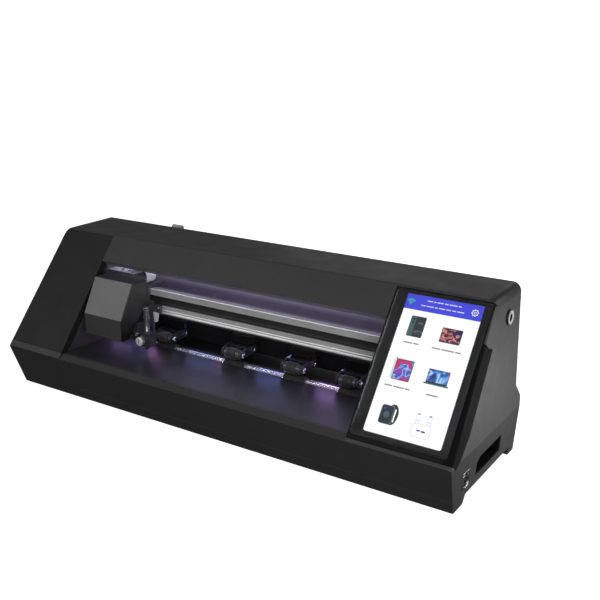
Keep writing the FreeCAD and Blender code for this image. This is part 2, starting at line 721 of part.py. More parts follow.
def carriage_cover():
    outer = prism_x(cover_side_outline(), COVER_X[0], COVER_X[1])
    t = COVER_SHEET
    hollow = [(15.0 + t, 50.0), (15.0 + t, 79.2), (32.0, 111.8 - t), (60.0, 111.8 - t), (60.0, 50.0)]
    return outer.cut(prism_x(hollow, COVER_X[0] + t, COVER_X[1] - t))


def solenoid():
    coil_body = box(91.5, 106.5, 32.0, 47.8, 78.8, 95.0)
    plunger = cyl_z(99.0, 40.0, 74.3, 79.0, 2.5)
    tab = box(93.0, 105.0, 47.5, 50.6, 82.0, 92.0)
    return fuse([coil_body, plunger, tab])


def ribbon_strip(points, thickness, y0, y1):
    """A flat cable swept through (x, z) points, as wide as y0 to y1."""
    upper = []
    lower = []
    count = len(points)
    for i in range(count):
        ax, az = points[max(i - 1, 0)]
        bx, bz = points[min(i + 1, count - 1)]
        length = math.hypot(bx - ax, bz - az)
        nx = -(bz - az) / length * thickness / 2.0
        nz = (bx - ax) / length * thickness / 2.0
        x, z = points[i]
        upper.append((x + nx, z + nz))
        lower.append((x - nx, z - nz))
    lower.reverse()
    return prism_y(upper + lower, y0, y1)


def ribbon_cable():
    return ribbon_strip([(60.0, RIBBON_Z), (100.0, RIBBON_Z)], RIBBON_THICKNESS, RIBBON_Y[0], RIBBON_Y[1])


def ribbon_loop():
    points = [(86.0, 114.8), (94.0, 115.6), (101.0, 118.0), (105.5, 119.3)]
    radius = 6.6
    centre = (109.6, 112.8)
    for degrees in range(100, -91, -10):
        angle = math.radians(degrees)
        points.append((centre[0] + radius * math.cos(angle), centre[1] + radius * math.sin(angle)))
    points.append((102.0, 106.3))
    return ribbon_strip(points, RIBBON_THICKNESS, RIBBON_Y[0], RIBBON_Y[1])


# ---------------------------------------------------------------- tool
def tool_holder():
    block = box(TOOL_X[0], TOOL_X[1], TOOL_Y[0], TOOL_Y[1], TOOL_Z[0], TOOL_Z[1])
    arm = box(82.0, TOOL_X[0] + 1.0, ROD_Y - 3.5, ROD_Y + 3.5, 67.0, 74.0)
    web = box(119.4, TOOL_X[0] + 1.0, 32.0, ROD_Y + 3.5, 57.0, 74.0)
    body = fuse([block, arm, web])
    tools = [cyl_z(BLADE_X, BLADE_Y, 40.0, 100.0, BLADE_HOLDER_R)]
    tools.append(cyl_y(SCREW_X, 20.0, 33.6, SCREW_Z, 1.5 + RUNNING_GAP))
    for x in ROD_XS:
        tools.append(cyl_z(x, ROD_Y, 60.0, 80.0, ROD_R + RUNNING_GAP))
    return cut(body, tools)


def tool_spring():
    springs = []
    for x in ROD_XS:
        for i in range(5):
            z = 60.8 + 1.35 * i
            springs.append(Part.makeTorus(2.5, 0.4, Vector(x, ROD_Y, z), Vector(0, 0, 1)))
    return group(springs)


def blade_holder():
    body = cyl_z(BLADE_X, BLADE_Y, 52.0, 90.5, BLADE_HOLDER_R)
    collar = cyl_z(BLADE_X, BLADE_Y, 83.0, 87.5, 3.6)
    cone = Part.makeCone(2.0, BLADE_HOLDER_R, 2.0, Vector(BLADE_X, BLADE_Y, 50.4), Vector(0, 0, 1))
    parts = fuse([body, collar, cone])
    return parts.cut(cyl_z(BLADE_X, BLADE_Y, 50.0, 60.4, 0.9 + RUNNING_GAP))


def blade():
    shank = cyl_z(BLADE_X, BLADE_Y, 51.0, 60.0, 0.9)
    tip = Part.makeCone(0.15, 0.9, 1.5, Vector(BLADE_X, BLADE_Y, 49.5), Vector(0, 0, 1))
    return fuse([shank, tip])


def thumb_screw():
    head = cyl_y(SCREW_X, 22.8, 27.5, SCREW_Z, 4.8)
    crown = Part.makeCone(4.0, 4.8, 0.8, Vector(SCREW_X, 22.0, SCREW_Z), Vector(0, 1, 0))
    neck = cyl_y(SCREW_X, 27.0, 33.2, SCREW_Z, 1.5)
    return fuse([head, crown, neck])


# ---------------------------------------------------------------- electronics, connectors, small parts
def led_strip():
    board = box(76.0, 364.0, 87.2, 88.0, 70.0, 76.0)
    parts = [board]
    count = 24
    for i in range(count):
        x = 82.0 + 12.0 * i
        parts.append(box(x, x + 3.5, 86.2, 87.3, 71.4, 74.9))
    return fuse(parts)


def main_board():
    parts = [box(150.0, 300.0, 30.0, 100.0, 15.0, 16.6)]
    for x in (156.0, 294.0):
        for y in (36.0, 94.0):
            parts.append(cyl_z(x, y, BELLY_Z + WALL, 15.2, 3.0))
    chips = [(170, 50, 16, 16, 2), (200, 45, 12, 12, 2), (240, 60, 20, 14, 6), (275, 45, 10, 10, 12)]
    for x, y, width, depth, height in chips:
        parts.append(box(x, x + width, y, y + depth, 16.4, 16.6 + height))
    return fuse(parts)


def dc_jack():
    y, z = JACK_YZ
    ring = cyl_x(452.75, 453.5, y, z, JACK_RING_R)
    bevel = Part.makeCone(JACK_RING_R, JACK_RING_R - 0.6, 0.6, Vector(453.5, y, z), Vector(1, 0, 0))
    barrel = cyl_x(436.0, 453.0, y, z, 5.4)
    return fuse([ring, bevel, barrel]).cut(cyl_x(442.0, 460.0, y, z, JACK_HOLE_R))


def usb_port():
    y, z = PORT_YZ
    shell = box(441.0, 455.4, y - 6.4, y + 6.4, z - 6.8, z + 6.8)
    inside = box(442.5, 460.0, y - 4.6, y + 4.6, z - 4.8, z + 4.8)
    tongue = box(442.0, 453.6, y - 2.6, y + 2.6, z - 1.6, z + 1.6)
    return fuse([shell.cut(inside), tongue])


def rocker_switch():
    half = 6.0
    profile = [(2.0, -8.0), (8.6, -9.6), (7.4, 0.0), (8.6, 9.6), (2.0, 8.0), (-2.6, 0.0)]
    outline = [(SWITCH_PIVOT_Y + y, SWITCH_Z + z) for y, z in profile]
    body = prism_x(outline, SWITCH_X - half, SWITCH_X + half)
    body = fuse([body, cyl_x(SWITCH_X - 7.4, SWITCH_X + 7.4, SWITCH_PIVOT_Y, SWITCH_Z, 1.2)])
    centre = Vector(SWITCH_X, SWITCH_PIVOT_Y, SWITCH_Z)
    body.rotate(centre, Vector(1, 0, 0), -9.0)
    return body


def rubber_feet():
    pads = []
    for x0, x1 in ((12.0, 52.0), (404.0, 444.0)):
        pads.append(box(x0, x1, 3.0, 14.0, 0.0, FOOT_PAD))
        pads.append(box(x0, x1, 117.5, 127.5, 0.0, FOOT_PAD))
    return group(pads)


def cover_screws():
    screws = []
    for x in (78.0, 361.0):
        for z in (74.0, 138.0):
            head = cyl_y(x, REAR_WALL_Y, REAR_WALL_Y + 1.5, z, 3.0)
            screws.append(head.cut(cyl_y(x, REAR_WALL_Y + 0.7, REAR_WALL_Y + 2.0, z, 0.9)))
    return group(screws)


# ---------------------------------------------------------------- assembly
def build_nodes():
    outer = rounded_envelope()
    inner = envelope(WALL)
    inner_tight = envelope(WALL + 0.3)
    nodes = {
        "base_pan": base_pan(outer, inner),
        "front_fascia": front_fascia(),
        "deck_plate": deck_plate(),
        "deck_trim": deck_trim(),
        "left_end_cap": left_end_cap(outer, inner),
        "right_end_cap": right_end_cap(outer, inner),
        "left_cheek": left_cheek(outer),
        "display_bezel": display_bezel(outer),
        "cover_glass": cover_glass(),
        "display_mask": display_mask(),
        "lcd_panel": lcd_panel(),
        "top_cover": top_cover(),
        "rear_cover": rear_cover(),
        "inner_back_wall": inner_back_wall(),
        "pinch_beam": pinch_beam(),
        "pinch_pivot_pins": pinch_pivot_pins(),
        "left_frame_plate": left_frame_plate(inner_tight),
        "right_frame_plate": right_frame_plate(inner_tight),
        "carriage_rail": carriage_rail(),
        "shaft_bearings": shaft_bearings(),
        "feed_motor": feed_motor(),
        "feed_belt": feed_belt(),
        "carriage_motor": carriage_motor(),
        "carriage_belt": carriage_belt(),
        "idler_bracket": idler_bracket(),
        "led_strip": led_strip(),
        "ribbon_cable": ribbon_cable(),
        "main_board": main_board(),
        "dc_jack": dc_jack(),
        "usb_port": usb_port(),
        "rubber_feet": rubber_feet(),
        "cover_screws": cover_screws(),
        "drive_shaft": drive_shaft(),
        "grit_rollers": grit_rollers(),
        "shaft_pulley": shaft_pulley(),
        "feed_pulley": feed_pulley(),
        "lift_shaft": lift_shaft(),
        "lift_lever": lift_lever(),
        "carriage_block": carriage_block(),
        "carriage_cover": carriage_cover(),
        "solenoid": solenoid(),
        "ribbon_loop": ribbon_loop(),
        "tool_holder": tool_holder(),
        "tool_spring": tool_spring(),
        "blade_holder": blade_holder(),
        "blade": blade(),
        "thumb_screw": thumb_screw(),
        "belt_drive_pulley": belt_drive_pulley(),
        "belt_idler_pulley": pulley_y(IDLER_X, 2.0 + RUNNING_GAP),
        "rocker_switch": rocker_switch(),
    }
    for number, right in enumerate(PINCH_RIGHT, start=1):
        nodes["pinch_arm_%d" % number] = pinch_arm(right)
        nodes["pinch_roller_%d" % number] = pinch_roller(right)
    return nodes


def main():
    os.makedirs("parts", exist_ok=True)
    centre = Vector(-CASE_LENGTH / 2.0, -CASE_DEPTH_CENTRE, 0.0)
    for name, shape in build_nodes().items():
        shape.translate(centre)
        shape.exportStep("parts/%s.step" % name)


main()
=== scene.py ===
import json
import math

import bmesh
import bpy
from mathutils import Matrix, Vector

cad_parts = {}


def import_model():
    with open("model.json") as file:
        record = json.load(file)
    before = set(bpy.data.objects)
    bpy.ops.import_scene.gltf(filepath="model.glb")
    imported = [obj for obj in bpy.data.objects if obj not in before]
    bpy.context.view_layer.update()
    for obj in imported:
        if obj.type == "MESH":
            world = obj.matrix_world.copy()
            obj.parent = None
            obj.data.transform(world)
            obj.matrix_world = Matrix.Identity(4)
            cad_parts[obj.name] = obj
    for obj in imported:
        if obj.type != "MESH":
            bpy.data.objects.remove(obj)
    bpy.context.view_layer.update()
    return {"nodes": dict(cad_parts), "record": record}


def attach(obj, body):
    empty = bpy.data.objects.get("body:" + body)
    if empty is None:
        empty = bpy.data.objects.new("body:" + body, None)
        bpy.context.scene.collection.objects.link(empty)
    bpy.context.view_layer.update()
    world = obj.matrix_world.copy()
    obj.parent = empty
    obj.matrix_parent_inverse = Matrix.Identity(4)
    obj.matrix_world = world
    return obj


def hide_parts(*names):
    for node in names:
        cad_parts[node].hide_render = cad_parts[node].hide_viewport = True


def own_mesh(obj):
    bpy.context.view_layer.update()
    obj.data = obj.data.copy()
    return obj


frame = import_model()
nodes = frame["nodes"]

# ---- places, in case millimetres
# X from the left end, Y from the bottom front edge to the back, Z from the table, as in the CAD.
CASE_ORIGIN = Vector((228.0, 56.35, 0.0))
# The sloping front: the Y and Z of its foot, and its direction in Y and Z
NOSE = (-16.3, 42.4)
SLOPE = (0.5962, 0.8028)
# Pinch units: the X of each right face, the width, and the thickness of an ear
PINCH_RIGHT = (140.0, 220.8, 285.8, 341.5)
PINCH_WIDTH = 23.0
EAR = 2.0
ROLLER_YZ = (63.5, 54.3)
PIVOT_YZ = (80.0, 55.0)
BLADE_XY = (129.6, 36.4)
SCREW_XZ = (132.2, 61.2)
JACK_YZ = (89.3, 127.3)
PORT_YZ = (17.0, 21.8)
SWITCH_XZ = (431.0, 102.5)
SWITCH_PIVOT_Y = 108.0
# The lit part of the display: X, and distance up the slope
ACTIVE_X = (381.5, 443.75)
ACTIVE_S = (11.9, 124.3)
RIBBON_Y = (53.2, 65.4)
REAR_WALL_Y = 116.3
LEVER_CLEAR = (86.5, 97.5)


def at(x, y, z):
    """Case millimetres to the row frame in metres."""
    return (Vector((x, y, z)) - CASE_ORIGIN) / 1000.0


def on_slope(x, along, depth):
    """A point on the sloping front: a distance up it and a depth behind it."""
    y = NOSE[0] + SLOPE[0] * along + SLOPE[1] * depth
    z = NOSE[1] + SLOPE[1] * along - SLOPE[0] * depth
    return at(x, y, z)


# ---- node helpers
# For boxes of painted light and shade: the blur of a crisp edge, the usual tone (near black, for painted
# shade), and two distances from the middle along X
CRISP = 0.0002
PAINTED_SHADE_BLACK = (0.002, 0.002, 0.002)
ANY = -1.0
ENDS = 0.2


class Nodes:
    """Short calls for building one material's node tree."""

    def __init__(self, name):
        self.material = bpy.data.materials.new(name)
        self.material.use_nodes = True
        self.tree = self.material.node_tree
        self.shader = self.tree.nodes["Principled BSDF"]
        self.coords = self.tree.nodes.new("ShaderNodeTexCoord").outputs["Object"]

    def new(self, kind, **values):
        node = self.tree.nodes.new("ShaderNode" + kind)
        for key, value in values.items():
            setattr(node, key, value)
        return node

    def link(self, source, target):
        self.tree.links.new(source, target)

    def stretched(self, scale):
        node = self.new("Mapping")
        node.inputs["Scale"].default_value = scale
        self.link(self.coords, node.inputs["Vector"])
        return node.outputs["Vector"]

    def noise(self, scale, detail=3.0, vector=None, distortion=0.0):
        node = self.new("TexNoise")
        node.inputs["Scale"].default_value = scale
        node.inputs["Detail"].default_value = detail
        node.inputs["Distortion"].default_value = distortion
        self.link(vector or self.coords, node.inputs["Vector"])
        return node.outputs["Fac"]

    def cells(self, scale):
        node = self.new("TexVoronoi", feature="F1")
        node.inputs["Scale"].default_value = scale
        self.link(self.coords, node.inputs["Vector"])
        return node.outputs["Distance"]

    def bands(self, scale, direction, vector=None):
        node = self.new("TexWave", wave_type="BANDS", bands_direction=direction, wave_profile="SIN")
        node.inputs["Scale"].default_value = scale
        self.link(vector or self.coords, node.inputs["Vector"])
        return node.outputs["Fac"]

    def ranged(self, value, low, high, to_low, to_high):
        node = self.new("MapRange")
        for socket, number in zip(("From Min", "From Max", "To Min", "To Max"), (low, high, to_low, to_high)):
            node.inputs[socket].default_value = number
        self.link(value, node.inputs["Value"])
        return node.outputs["Result"]

    def drift(self, scale, detail, low, high, distortion=0.0):
        """Soft noise spread between two values."""
        return self.ranged(self.noise(scale, detail, distortion=distortion), 0.3, 0.7, low, high)

    def math(self, operation, a, b):
        node = self.new("Math", operation=operation)
        for socket, value in zip(node.inputs, (a, b)):
            if isinstance(value, (int, float)):
                socket.default_value = value
            else:
                self.link(value, socket)
        return node.outputs["Value"]

    def mix(self, factor, a, b):
        node = self.new("Mix", data_type="RGBA")
        for socket, value in ((node.inputs[0], factor), (node.inputs[6], a), (node.inputs[7], b)):
            if isinstance(value, (int, float)):
                socket.default_value = value
            elif isinstance(value, tuple):
                socket.default_value = (*value, 1.0)
            else:
                self.link(value, socket)
        return node.outputs[2]

    def ramp(self, value, stops):
        node = self.new("ValToRGB")
        elements = node.color_ramp.elements
        while len(elements) < len(stops):
            elements.new(0.5)
        for element, (place, colour) in zip(elements, stops):
            element.position = place
            element.color = (*colour, 1.0)
        self.link(value, node.inputs["Fac"])
        return node.outputs["Color"]

    def zone(self, low, high, blur):
        """White inside a box of object coordinates, mirrored to both ends, with a blurred top and bottom."""
        split = self.new("SeparateXYZ")
        self.link(self.coords, split.inputs[0])
        mask = 1.0
        for axis, (start, end) in enumerate(zip(low, high)):
            place = self.math("ABSOLUTE", split.outputs[axis], 0.0) if axis == 0 else split.outputs[axis]
            soft = blur if axis == 2 else CRISP
            mask = self.math("MULTIPLY", self.ranged(place, start - soft, start + soft, 0.0, 1.0), mask)
            mask = self.math("MULTIPLY", self.ranged(place, end - soft, end + soft, 1.0, 0.0), mask)
        return mask

    def paint_light_and_shade(self, base, zones):
        """Paint light and shade into the base colour: turn it towards each zone's tone, a near-black painted
        shade unless one is given.
        """
        for low, high, amount, *rest in zones:
            tone, blur = rest or (PAINTED_SHADE_BLACK, CRISP)
            base = self.mix(self.math("MULTIPLY", self.zone(low, high, blur), amount), base, tone)
        return base

    def set(self, **values):
        for key, value in values.items():
            self.shader.inputs[key.replace("_", " ")].default_value = value

    def tint(self, colour):
        self.link(colour, self.shader.inputs["Base Color"])

    def roughen(self, value):
        self.link(value, self.shader.inputs["Roughness"])

    def relief(self, height, strength, distance, edge):
        """Bump over softened edges."""
        bump = self.new("Bump")
        bump.inputs["Strength"].default_value = strength
        bump.inputs["Distance"].default_value = distance
        self.link(height, bump.inputs["Height"])
        if edge > 0:
            bevel = self.new("Bevel", samples=4)
            bevel.inputs["Radius"].default_value = edge
            self.link(bevel.outputs["Normal"], bump.inputs["Normal"])
        self.link(bump.outputs["Normal"], self.shader.inputs["Normal"])

    def edge_mask(self, radius, amount):
        """White along worn outside edges, black elsewhere."""
        bevel = self.new("Bevel", samples=4)
        bevel.inputs["Radius"].default_value = radius
        geometry = self.new("NewGeometry")
        dot = self.new("VectorMath", operation="DOT_PRODUCT")
        self.link(bevel.outputs["Normal"], dot.inputs[0])
        self.link(geometry.outputs["Normal"], dot.inputs[1])
        patchy = self.ranged(self.noise(260.0, 4.0), 0.35, 0.65, 0.35, 1.0)
        return self.math("MULTIPLY", self.ranged(dot.outputs["Value"], 0.995, 0.90, 0.0, amount), patchy)


def into_scene(thing):
    bpy.context.scene.collection.objects.link(thing)


def scaled(colour, factor):
    return tuple(min(1.0, c * factor) for c in colour)


# ---- materials
GRAIN_SCALE = 2600.0
MOTTLE = 0.12


def moulded(name, colour, rough, grain=0.35, wear=0.35, edge=0.0005, specular=0.5, zones=()):
    """Moulded plastic with a fine spark-eroded texture, slight tone drift and rubbed edges, plus any boxes of
    painted light and shade.
    """
    n = Nodes(name)
    n.set(Metallic=0.0, Specular_IOR_Level=specular)
    drift = n.drift(16.0, 5.0, 0.0, 1.0)
    base = n.mix(drift, scaled(colour, 1.0 - MOTTLE), scaled(colour, 1.0 + MOTTLE))
    speckle = n.ranged(n.noise(GRAIN_SCALE * 0.6, 2.0), 0.35, 0.65, 0.0, 0.35)
    base = n.mix(speckle, base, scaled(colour, 1.5))
    if wear > 0:
        base = n.mix(n.edge_mask(edge * 1.2, wear), base, scaled(tuple(c + 0.02 for c in colour), 3.0))
    # Boxes of painted light and shade, where given, go over the base colour.
    n.tint(n.paint_light_and_shade(base, zones))
    smudges = n.drift(38.0, 6.0, rough - 0.05, rough + 0.06, 0.6)
    n.roughen(smudges)
    texture = n.math("ADD", n.noise(GRAIN_SCALE, 3.0), n.math("MULTIPLY", n.cells(GRAIN_SCALE * 0.55), 0.6))
    n.relief(texture, grain, 0.00012, edge)
    return n.material


def metal(name, colour, rough, stretch=(1.0, 1.0, 1.0), scratch=0.18, scale=900.0, edge=0.0003, metallic=1.0,
          zones=()):
    """Machined or drawn metal: long fine lines, tarnish clouds and bright edges, plus any boxes of painted
    light and shade.
    """
    n = Nodes(name)
    n.set(Metallic=metallic)
    vector = n.stretched(stretch)
    lines = n.noise(scale, 4.0, vector)
    clouds = n.drift(55.0, 5.0, 0.0, 1.0)
    base = n.mix(clouds, scaled(colour, 0.86), scaled(colour, 1.06))
    base = n.mix(n.ranged(lines, 0.3, 0.7, 0.0, 0.4), base, scaled(colour, 0.7))
    base = n.mix(n.edge_mask(edge * 1.5, 0.7), base, scaled(colour, 1.35))
    # Boxes of painted light and shade, where given, go over the base colour.
    n.tint(n.paint_light_and_shade(base, zones))
    n.roughen(n.ranged(lines, 0.25, 0.75, rough * 0.75, rough * 1.35))
    n.relief(lines, scratch, 0.00005, edge)
    return n.material


def polished(name, colour, rough, metallic):
    """Ground bar: smooth along its length, with slow clouds in the polish."""
    n = Nodes(name)
    n.set(Metallic=metallic)
    clouds = n.drift(9.0, 2.0, 0.0, 1.0)
    n.tint(n.mix(clouds, scaled(colour, 0.92), colour))
    n.roughen(n.drift(14.0, 2.0, rough * 0.9, rough * 1.1))
    return n.material


def rubber(name, colour, rough=0.8, ribs=None):
    """Rubber with dust in a fine open grain, and ribs where it is toothed or grooved."""
    n = Nodes(name)
    n.set(Metallic=0.0, Specular_IOR_Level=0.3, Sheen_Weight=0.15, Sheen_Roughness=0.6)
    dust = n.ranged(n.noise(140.0, 6.0), 0.42, 0.72, 0.0, 0.5)
    n.tint(n.mix(dust, colour, scaled(tuple(c + 0.03 for c in colour), 1.9)))
    n.roughen(n.drift(700.0, 3.0, rough - 0.1, rough + 0.1))
    height = n.noise(2200.0, 4.0)
    if ribs:
        height = n.math("ADD", n.math("MULTIPLY", height, 0.3), n.bands(ribs[1], ribs[0]))
    n.relief(height, 0.5, 0.0002, 0.0003)
    return n.material


def glossy_dark(name, colour, rough, coat=0.35, zones=()):
    """Smooth gloss sheet with faint handling haze, plus any boxes of painted light and shade."""
    n = Nodes(name)
    n.set(Metallic=0.0, Coat_Weight=coat, Coat_Roughness=0.12)
    haze = n.drift(22.0, 3.0, 0.0, 1.0)
    base = n.mix(haze, colour, scaled(colour, 1.15))
    # Boxes of painted light and shade, where given, go over the base colour.
    n.tint(n.paint_light_and_shade(base, zones))
    n.roughen(n.drift(30.0, 3.0, rough * 0.85, rough * 1.15))
    return n.material


def clear_glass(name):
    """Flat cover glass with a trace of smudging in its polish."""
    n = Nodes(name)
    n.set(Metallic=0.0, Transmission_Weight=1.0, IOR=1.45)
    n.set(Base_Color=(0.97, 0.98, 1.0, 1.0))
    n.roughen(n.drift(18.0, 2.0, 0.0, 0.012))
    return n.material


def circuit(name):
    """Green board with copper runs and pads under the mask."""
    n = Nodes(name)
    n.set(Metallic=0.0)
    runs = n.math("GREATER_THAN", n.bands(90.0, "X", n.stretched((1.0, 0.35, 1.0))), 0.72)
    pads = n.math("LESS_THAN", n.cells(320.0), 0.22)
    copper = n.math("MAXIMUM", n.math("MULTIPLY", runs, 0.5), pads)
    n.tint(n.mix(copper, (0.012, 0.075, 0.035), (0.09, 0.21, 0.07)))
    n.roughen(n.drift(200.0, 3.0, 0.25, 0.45))
    n.relief(copper, 0.3, 0.00008, 0.0002)
    return n.material


def flat_cable(name):
    """White film with fine printed conductors along its length."""
    n = Nodes(name)
    n.set(Metallic=0.0, Subsurface_Weight=0.08, Subsurface_Scale=0.001)
    conductor = n.ranged(n.bands(157.0, "Y"), 0.55, 0.8, 0.0, 0.45)
    grime = n.ranged(n.noise(150.0, 4.0), 0.4, 0.75, 0.0, 0.25)
    base = n.mix(conductor, (0.84, 0.84, 0.90), (0.52, 0.53, 0.60))
    n.tint(n.mix(grime, base, (0.5, 0.5, 0.52)))
    n.roughen(n.drift(400.0, 3.0, 0.28, 0.42))
    n.relief(conductor, 0.35, 0.00008, 0.0)
    return n.material


def grit(name):
    """Steel sleeve with a bonded abrasive surface."""
    n = Nodes(name)
    n.set(Metallic=0.5)
    grains = n.cells(1700.0)
    tones = [(0.0, (0.10, 0.097, 0.092)), (0.45, (0.038, 0.038, 0.036)), (0.9, (0.012, 0.012, 0.012))]
    n.tint(n.ramp(grains, tones))
    n.roughen(n.ranged(grains, 0.0, 0.8, 0.4, 0.85))
    n.relief(grains, 0.9, 0.0003, 0.0003)
    return n.material


def lit(name, colour, strength, shade=None):
    """A glowing screen colour with the panel's faint unevenness."""
    n = Nodes(name)
    n.set(Metallic=0.0, Base_Color=(0.01, 0.01, 0.01, 1.0), Specular_IOR_Level=0.0)
    n.set(Emission_Strength=strength)
    n.roughen(n.drift(500.0, 2.0, 0.3, 0.4))
    uneven = n.drift(24.0, 2.0, 0.0, 1.0)
    glow = shade(n) if shade else n.mix(uneven, scaled(colour, 0.97), colour)
    n.link(glow, n.shader.inputs["Emission Color"])
    return n.material


def picture(stops, scale, distortion, offset):
    """An abstract swirl of colours, different for each small picture on the screen."""
    def shade(n):
        node = n.new("Mapping")
        node.inputs["Location"].default_value = offset
        n.link(n.coords, node.inputs["Vector"])
        return n.ramp(n.noise(scale, 1.5, node.outputs["Vector"], distortion), stops)
    return shade


# Boxes of painted light and shade, in row-frame metres: low corner, high corner, amount, then tone and blur.
# X is the distance from the middle, so each box is on both halves.
# Painted shade: the case darkened in the grip pocket and port hollows at both ends.
HOLLOW_PAINTED_SHADE = (((0.206, -0.019, 0.015), (0.2235, 0.0342, 0.0302), 0.85),
           ((0.217, -0.056, 0.0075), (0.2242, 0.042, 0.018), 0.8))
# Painted shade: the deck darkened behind the drive shaft, under the rail and pinch beam.
DECK_REAR_PAINTED_SHADE = (((ANY, 0.015, 0.04), (ENDS, 0.09, 0.047), 0.95),)
# Painted shade: the upper part of both end housings' sides darkened from about 118 mm up, with a soft edge.
SIDE_PAINTED_SHADE = (((0.219, -0.09, 0.118), (0.24, 0.09, 0.25), 0.70, PAINTED_SHADE_BLACK, 0.025),)
# Painted light: the underside of the top cover's front lip lightened to lavender grey, for the wall's glow
# falling on it.
COVER_LIP_PAINTED_LIGHT = (((ANY, -0.0115, 0.117), (0.16, -0.0046, 0.1236), 0.85, (0.24, 0.23, 0.28), CRISP),)
# Painted light: lighter lavender bands on the back wall, above and below its middle.
WALL_PAINTED_LIGHT_BANDS = (((ANY, 0.04, 0.0975), (ENDS, 0.06, 0.2), 0.60, (0.36, 0.35, 0.41), 0.0022),
              ((ANY, 0.04, 0.06), (ENDS, 0.06, 0.0894), 0.55, (0.34, 0.33, 0.40), 0.0008))
# Painted shade on the rail: a dark band over its groove, its lower edge darkened and its top face dimmed.
RAIL_PAINTED_SHADE = (((ANY, -0.0016, 0.0884), (ENDS, 0.0022, 0.0966), 0.92),
               ((ANY, -0.01, 0.07), (ENDS, 0.01, 0.0806), 0.9),
               ((ANY, -0.01, 0.1024), (ENDS, 0.01, 0.11), 0.62))
# Painted shade on the carriage cover: its lower front face and both sides darkened, one side darker towards
# the bottom, and the top turned dark violet for shade tinted by the LED light.
COVER_PAINTED_SHADE = (((ANY, -0.043, 0.058), (ENDS, -0.0404, 0.0797), 0.68),
                ((0.1088, -0.042, 0.059), (0.1106, 0.0, 0.113), 0.62),
                ((0.1562, -0.042, 0.059), (0.158, 0.0, 0.113), 0.62),
                ((0.1088, -0.042, 0.02), (0.1106, 0.0, 0.086), 0.95, PAINTED_SHADE_BLACK, 0.020),
                ((ANY, -0.0262, 0.1114), (ENDS, 0.0, 0.113), 0.85, (0.020, 0.018, 0.032), CRISP))
# Painted shade: the outer side of the display slab darkened.
SLAB_SIDE_PAINTED_SHADE = (((0.2205, -0.08, 0.03), (0.23, 0.06, 0.15), 0.7),)
MAT = {}


def keep(maker, name, *numbers, **options):
    """Make the material of one slot in the record."""
    MAT[name] = maker(name, *numbers, **options)


# The case, slab, deck, wall, rail and carriage cover slots get boxes of painted light and shade.
keep(moulded, "case_plastic", (0.030, 0.030, 0.031), 0.50, zones=HOLLOW_PAINTED_SHADE + SIDE_PAINTED_SHADE + COVER_LIP_PAINTED_LIGHT)
keep(moulded, "slab_plastic", (0.012, 0.012, 0.0123), 0.6, grain=0.1, wear=0.0, specular=0.05,
     zones=SLAB_SIDE_PAINTED_SHADE)
keep(moulded, "deck_plastic", (0.022, 0.022, 0.024), 0.34, grain=0.16, wear=0.2, zones=DECK_REAR_PAINTED_SHADE)
keep(moulded, "trim_plastic", (0.034, 0.034, 0.035), 0.42, grain=0.22)
keep(clear_glass, "cover_glass")
keep(glossy_dark, "mask_black", (0.006, 0.006, 0.0065), 0.35, 0.0)
keep(glossy_dark, "lcd", (0.02, 0.02, 0.022), 0.35)
# The wall's pale lavender base is painted light: it stands for violet LED light on a dark gloss wall.
keep(glossy_dark, "wall_gloss", (0.155, 0.142, 0.19), 0.24, zones=WALL_PAINTED_LIGHT_BANDS)
keep(metal, "frame_steel", (0.32, 0.32, 0.34), 0.42, (1.0, 14.0, 1.0), 0.12)
keep(metal, "rail_aluminium", (0.90, 0.90, 0.90), 0.34, (0.004, 1.0, 1.0), 0.04, 500.0, 0.0005,
     metallic=0.62, zones=RAIL_PAINTED_SHADE)
keep(metal, "bright_steel", (0.72, 0.72, 0.74), 0.16, (1.0, 0.05, 0.05), 0.1)
keep(grit, "grit_steel")
keep(metal, "bearing_steel", (0.5, 0.5, 0.52), 0.25)
keep(moulded, "motor_black", (0.02, 0.02, 0.021), 0.4, grain=0.1)
keep(rubber, "belt_rubber", (0.018, 0.018, 0.018), 0.75, ("X", 157.0))
keep(metal, "pulley_aluminium", (0.62, 0.62, 0.63), 0.3, (0.2, 1.0, 1.0))
keep(glossy_dark, "led_board", (0.55, 0.55, 0.56), 0.4)
keep(flat_cable, "ribbon_film")
keep(circuit, "circuit_board")
keep(metal, "jack_chrome", (0.8, 0.8, 0.82), 0.12, scratch=0.05)
keep(metal, "port_steel", (0.62, 0.62, 0.64), 0.24, (1.0, 6.0, 1.0))
keep(rubber, "foot_rubber", (0.02, 0.02, 0.02))
keep(metal, "screw_black", (0.10, 0.10, 0.105), 0.34)
keep(moulded, "arm_plastic", (0.022, 0.022, 0.026), 0.26, grain=0.08, wear=0.4, edge=0.0003)
keep(rubber, "roller_rubber", (0.017, 0.017, 0.015), 0.44)
keep(metal, "lift_steel", (0.5, 0.5, 0.52), 0.32, (0.1, 1.0, 1.0))
keep(moulded, "lever_grey", (0.40, 0.40, 0.41), 0.45)
keep(moulded, "carriage_grey", (0.145, 0.145, 0.145), 0.42, grain=0.3, zones=COVER_PAINTED_SHADE)
keep(moulded, "carriage_dark", (0.05, 0.05, 0.056), 0.4, grain=0.15, wear=0.5, edge=0.0003)
keep(metal, "solenoid_steel", (0.55, 0.5, 0.38), 0.38)
keep(moulded, "tool_dark", (0.026, 0.026, 0.031), 0.36, grain=0.14, wear=0.5, edge=0.0003)
keep(metal, "spring_steel", (0.6, 0.6, 0.6), 0.22)
keep(metal, "blade_steel", (0.75, 0.75, 0.77), 0.12, (1.0, 1.0, 0.05))
keep(moulded, "switch_black", (0.014, 0.014, 0.014), 0.26, grain=0.06)

